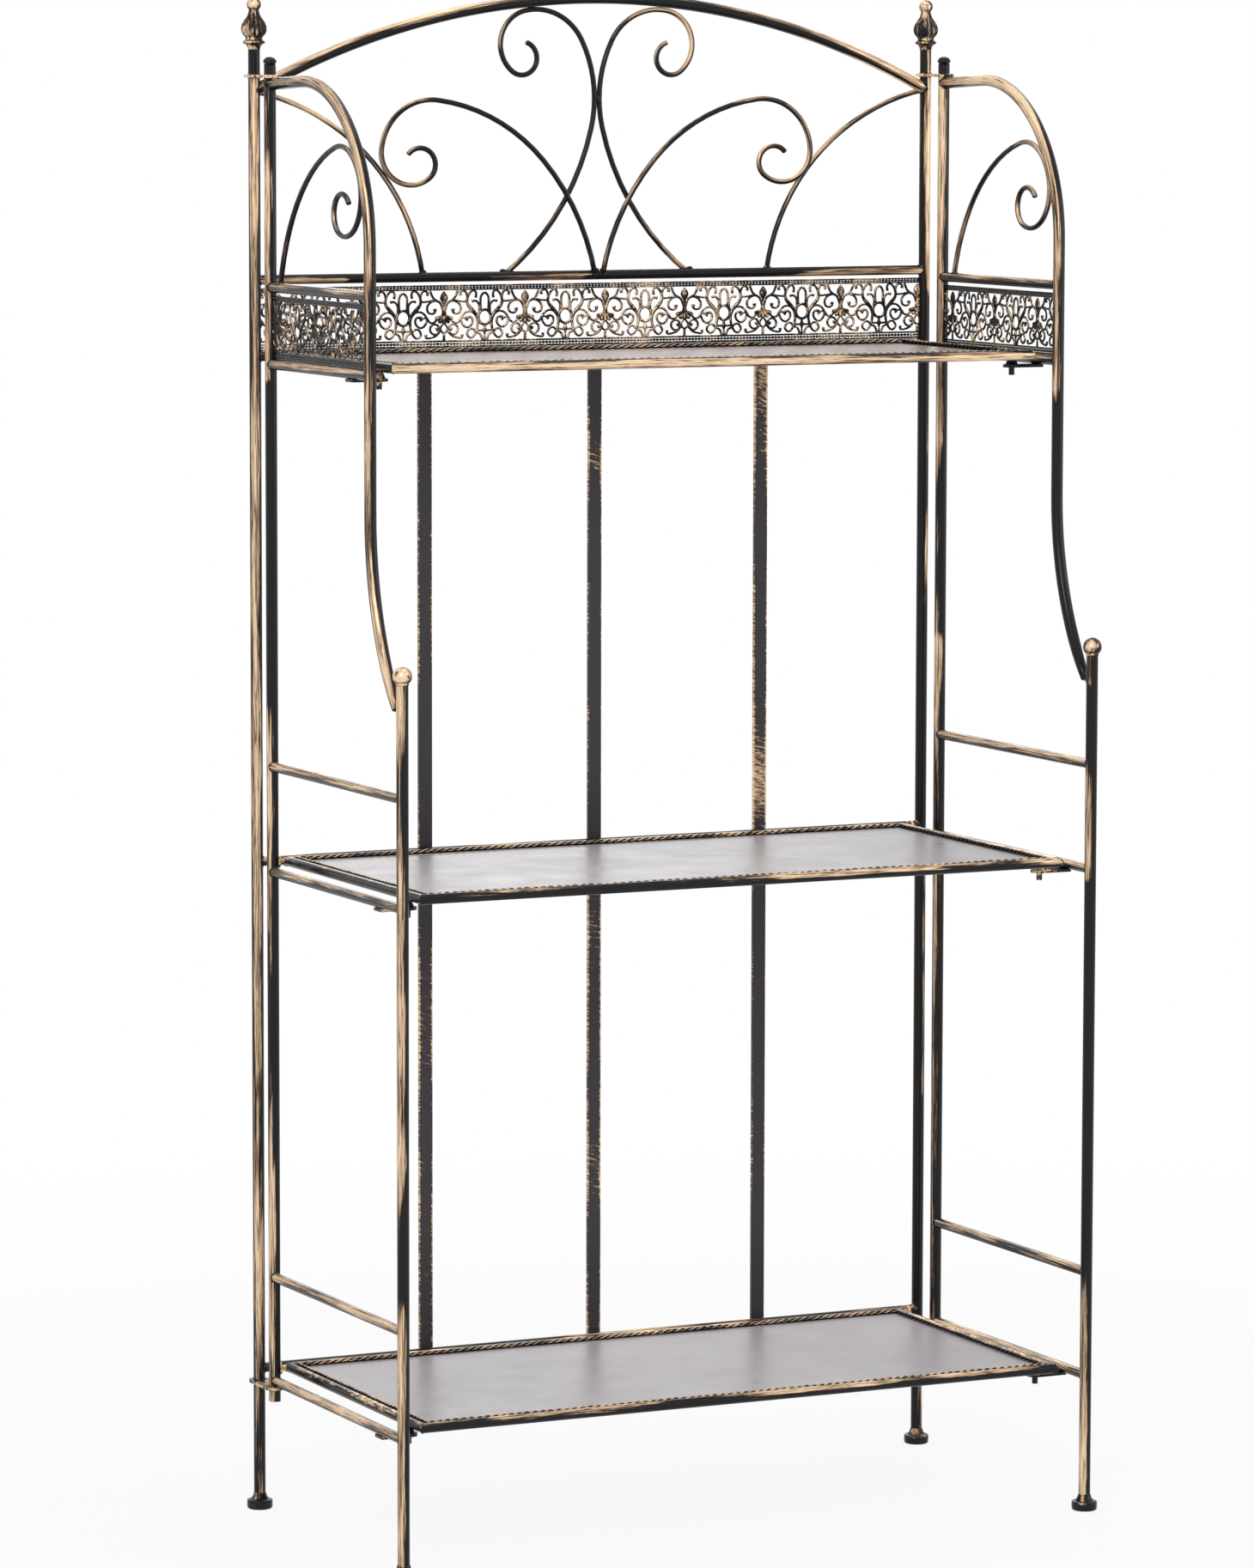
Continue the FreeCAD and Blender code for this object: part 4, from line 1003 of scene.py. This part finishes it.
def backWelds():
    half, y, tube, rail = rack["halfWidth"], rack["backY"], rack["tubeRadius"], rack["railRadius"]
    up = (0, 0, 1)
    bm = bmesh.new()
    for height in [rack["upperRail"], *rack["shelfHeights"].values()]:
        for side in (-1, 1):
            post = (side * half, y, height)
            line = saddle(post, up, tube, post, (-side, 0, 0), rail, welds["count"])
            weldBead(bm, line, welds["railBead"])
    reach, plateCircle = tube + welds["standOff"], circle(welds["plateCount"])
    for side in (-1, 1):
        post = (side * half, y, arch["endHeight"])
        line = saddle(post, up, tube, post, (-side, 0, arch["endSlope"]), tube, welds["count"])
        weldBead(bm, line, welds["railBead"])
        for height in welds["plateFaces"]:
            ring = [(side * half + reach * cos, y + reach * sin, height) for cos, sin in plateCircle]
            weldBead(bm, ring, welds["plateBead"])
    finishPiece("backTubeWelds", bm, "back_frame", "frame_tube", "weldPaint")


def scrollWelds():
    rail, top, rearY = rack["railRadius"], rack["upperRail"], scrolls["rearY"]
    _, down, large, corner = scrollPlans()
    bm = bmesh.new()
    for side in (-1, 1):
        for (x, z), (nextX, nextZ), depth in ((down[-1], down[-2], rearY), (corner[-1], corner[-2], rearY),
                                              (large[0], large[1], scrolls["frontY"])):
            away = (-side * (nextX - x), 0, nextZ - z)
            line = saddle((0, rack["backY"], top), (1, 0, 0), rail, (-side * x, depth, z), away,
                          rack["rodRadius"] + welds["standOff"], welds["rodCount"])
            weldBead(bm, line, welds["rodBead"])
            place = (-side * x, depth - welds["dropBack"], top + rail + welds["dropRise"])
            weldDrop(bm, place, *welds["rodDrop"])
    for depth in (-welds["touchDepth"], welds["touchDepth"]):
        weldDrop(bm, (0.0, rearY + depth, scrolls["touchHeight"]), *welds["touchDrop"])
    finishPiece("scrollWelds", bm, "back_frame", "scrollwork", "weldPaint")


def sideWelds():
    tube, rail, up = rack["tubeRadius"], rack["railRadius"], (0, 0, 1)
    reachFront = rack["uprightY"] - rack["frontY"]
    drop, guard = rack["sideRailDrop"], rack["guardRise"]
    top, middle, bottom = rack["shelfHeights"].values()
    rails = [(rack["sideUpperRail"], rack["neckReach"]), (top - drop, rack["neckReach"])]
    for height in (middle - drop, bottom - drop, middle + guard, bottom + guard):
        rails.append((height, reachFront))
    lean = math.radians(scrolls["sideHeading"])
    for side, name in sideFrames:
        bm = bmesh.new()
        for height, reach in rails:
            for host, way in ((0.0, -1), (reach, 1)):
                point = onSide(side, host, height)
                line = saddle(point, up, tube, point, (0, way, 0), rail, welds["count"])
                weldBead(bm, line, welds["railBead"])
        point = onSide(side, 0.0, swanNeck["height"])
        line = saddle(point, up, tube, point, (0, -1, swanNeck["slope"]), tube, welds["count"])
        weldBead(bm, line, welds["railBead"])
        for behind, height, size in swanNeck["toeWelds"]:
            weldDrop(bm, onSide(side, reachFront - behind, height), size, welds["toeStretch"])
        foot = onSide(side, scrolls["sideStart"], rack["sideUpperRail"])
        line = saddle(foot, (0, 1, 0), rail, foot, (0, -math.cos(lean), math.sin(lean)),
                      rack["rodRadius"] + welds["standOff"], welds["rodCount"])
        weldBead(bm, line, welds["rodBead"])
        finishPiece(name + "FrameWelds", bm, "side_" + name, "frame_tube", "weldPaint")


def shelfWelds():
    rail = rack["railRadius"]
    for level, height in rack["shelfHeights"].items():
        bm = bmesh.new()
        for y, inY in ((welds["mitreRearY"], -1), (rope["frontY"][level] - welds["mitreFront"], 1)):
            for side in (-1, 1):
                line = [(side * (welds["mitreX"] - rail * cos), y + inY * rail * cos, height + rail * sin)
                        for cos, sin in circle(welds["mitreCount"])]
                weldBead(bm, line, welds["mitreBead"])
        finishPiece(level + "ShelfWelds", bm, "shelf_" + level, "frame_tube", "weldPaint")


backWelds()
scrollWelds()
sideWelds()
shelfWelds()
print("stage: welds laid")

studio = {
    "floorTones": [(0.86, 0.86, 0.86), (0.88, 0.88, 0.88)],
    "floorReach": 14.0,
    "floorFade": (0.7, 2.4),
    "nearWhite": 0.90,
    "worldLevel": 0.50,
    "lamps": [
        # name, place, aimed at, size, power
        ("keyLamp", (-2.6, -3.2, 2.8), (0, 0, 0.8), 1.8, 46.0),
        ("fillLamp", (3.2, -2.4, 1.8), (0, 0, 0.8), 2.2, 26.0),
        ("topLamp", (0.3, 0.4, 3.6), (0, 0, 0.6), 2.4, 14.0),
        ("backLamp", (1.2, 3.4, 2.2), (0, 0, 0.9), 2.0, 18.0),
    ],
    "cameraPlace": (-3.0052, -6.1496, 1.5098),
    "yaw": 0.44759,
    "pitch": 0.11087,
    "roll": 0.00197,
    "focalPixels": 7911.4,
    "frameTall": 1826.0,
    "sensor": 36.0,
    "clipEnd": 60.0,
}


def backgroundRays(tree):
    # camera, mirror and glass rays all see the white room
    path = addNode(tree, "ShaderNodeLightPath").outputs
    first = reckon(tree, "MAXIMUM", path["Is Camera Ray"], path["Is Glossy Ray"])
    return reckon(tree, "MAXIMUM", first, path["Is Transmission Ray"])


def whiteRoom():
    world = bpy.data.worlds.new("whiteRoom")
    bpy.context.scene.world = world
    world.use_nodes = True
    tree = world.node_tree
    tree.nodes.clear()
    strength = spread(tree, backgroundRays(tree), 0.0, 1.0, studio["worldLevel"])
    back = addNode(tree, "ShaderNodeBackground", {"Color": (1, 1, 1, 1), "Strength": strength})
    addNode(tree, "ShaderNodeOutputWorld", {"Surface": back.outputs["Background"]})


def paleFloor():
    # matt near the rack, where its shadow falls, and fading into the white room
    material, tree, place = newMaterial("paleFloor")
    mottle = unevenness(tree, place["Object"], 3.0, 2.0)
    matt = addNode(tree, "ShaderNodeBsdfDiffuse", {
        "Color": mixColours(tree, mottle, *(opaque(tone) for tone in studio["floorTones"]))})
    glow = addNode(tree, "ShaderNodeEmission", {"Color": (1, 1, 1, 1), "Strength": 1.0})
    reach = addNode(tree, "ShaderNodeVectorMath", {0: place["Object"]}, operation="LENGTH").outputs["Value"]
    far = spread(tree, reach, *studio["floorFade"], studio["nearWhite"], shape="SMOOTHSTEP")
    both = addNode(tree, "ShaderNodeMixShader", {
        0: reckon(tree, "MULTIPLY", backgroundRays(tree), far), 1: matt.outputs["BSDF"],
        2: glow.outputs["Emission"]})
    addNode(tree, "ShaderNodeOutputMaterial", {"Surface": both.outputs["Shader"]})
    bm = bmesh.new()
    bmesh.ops.create_grid(bm, x_segments=4, y_segments=4, size=studio["floorReach"])
    floor = placedMesh("studioFloor", bm, material)


def lamps():
    for name, place, aim, size, power in studio["lamps"]:
        light = bpy.data.lights.new(name, "AREA")
        light.shape = "DISK"
        light.size = size
        light.energy = power
        lamp = placed(name, light)
        lamp.location = place
        lamp.rotation_mode = "QUATERNION"
        lamp.rotation_quaternion = (Vector(aim) - Vector(place)).to_track_quat("-Z", "Y")


def roomCamera():
    yaw, pitch, roll = studio["yaw"], studio["pitch"], studio["roll"]
    ahead = Vector((math.sin(yaw) * math.cos(pitch), math.cos(yaw) * math.cos(pitch), -math.sin(pitch)))
    level = Vector((math.cos(yaw), -math.sin(yaw), 0.0))
    above = level.cross(ahead)
    right = level * math.cos(roll) + above * math.sin(roll)
    up = right.cross(ahead)
    lens = bpy.data.cameras.new("roomCamera")
    lens.sensor_width = studio["sensor"]
    lens.lens = studio["focalPixels"] * studio["sensor"] / studio["frameTall"]
    lens.clip_end = studio["clipEnd"]
    camera = placed("roomCamera", lens)
    camera.rotation_mode = "QUATERNION"
    camera.rotation_quaternion = Matrix((right, up, -ahead)).transposed().to_quaternion()
    camera.location = studio["cameraPlace"]
    bpy.context.scene.camera = camera


whiteRoom()
paleFloor()
lamps()
roomCamera()
bpy.context.scene.view_settings.view_transform = "Standard"
print("stage: studio set")
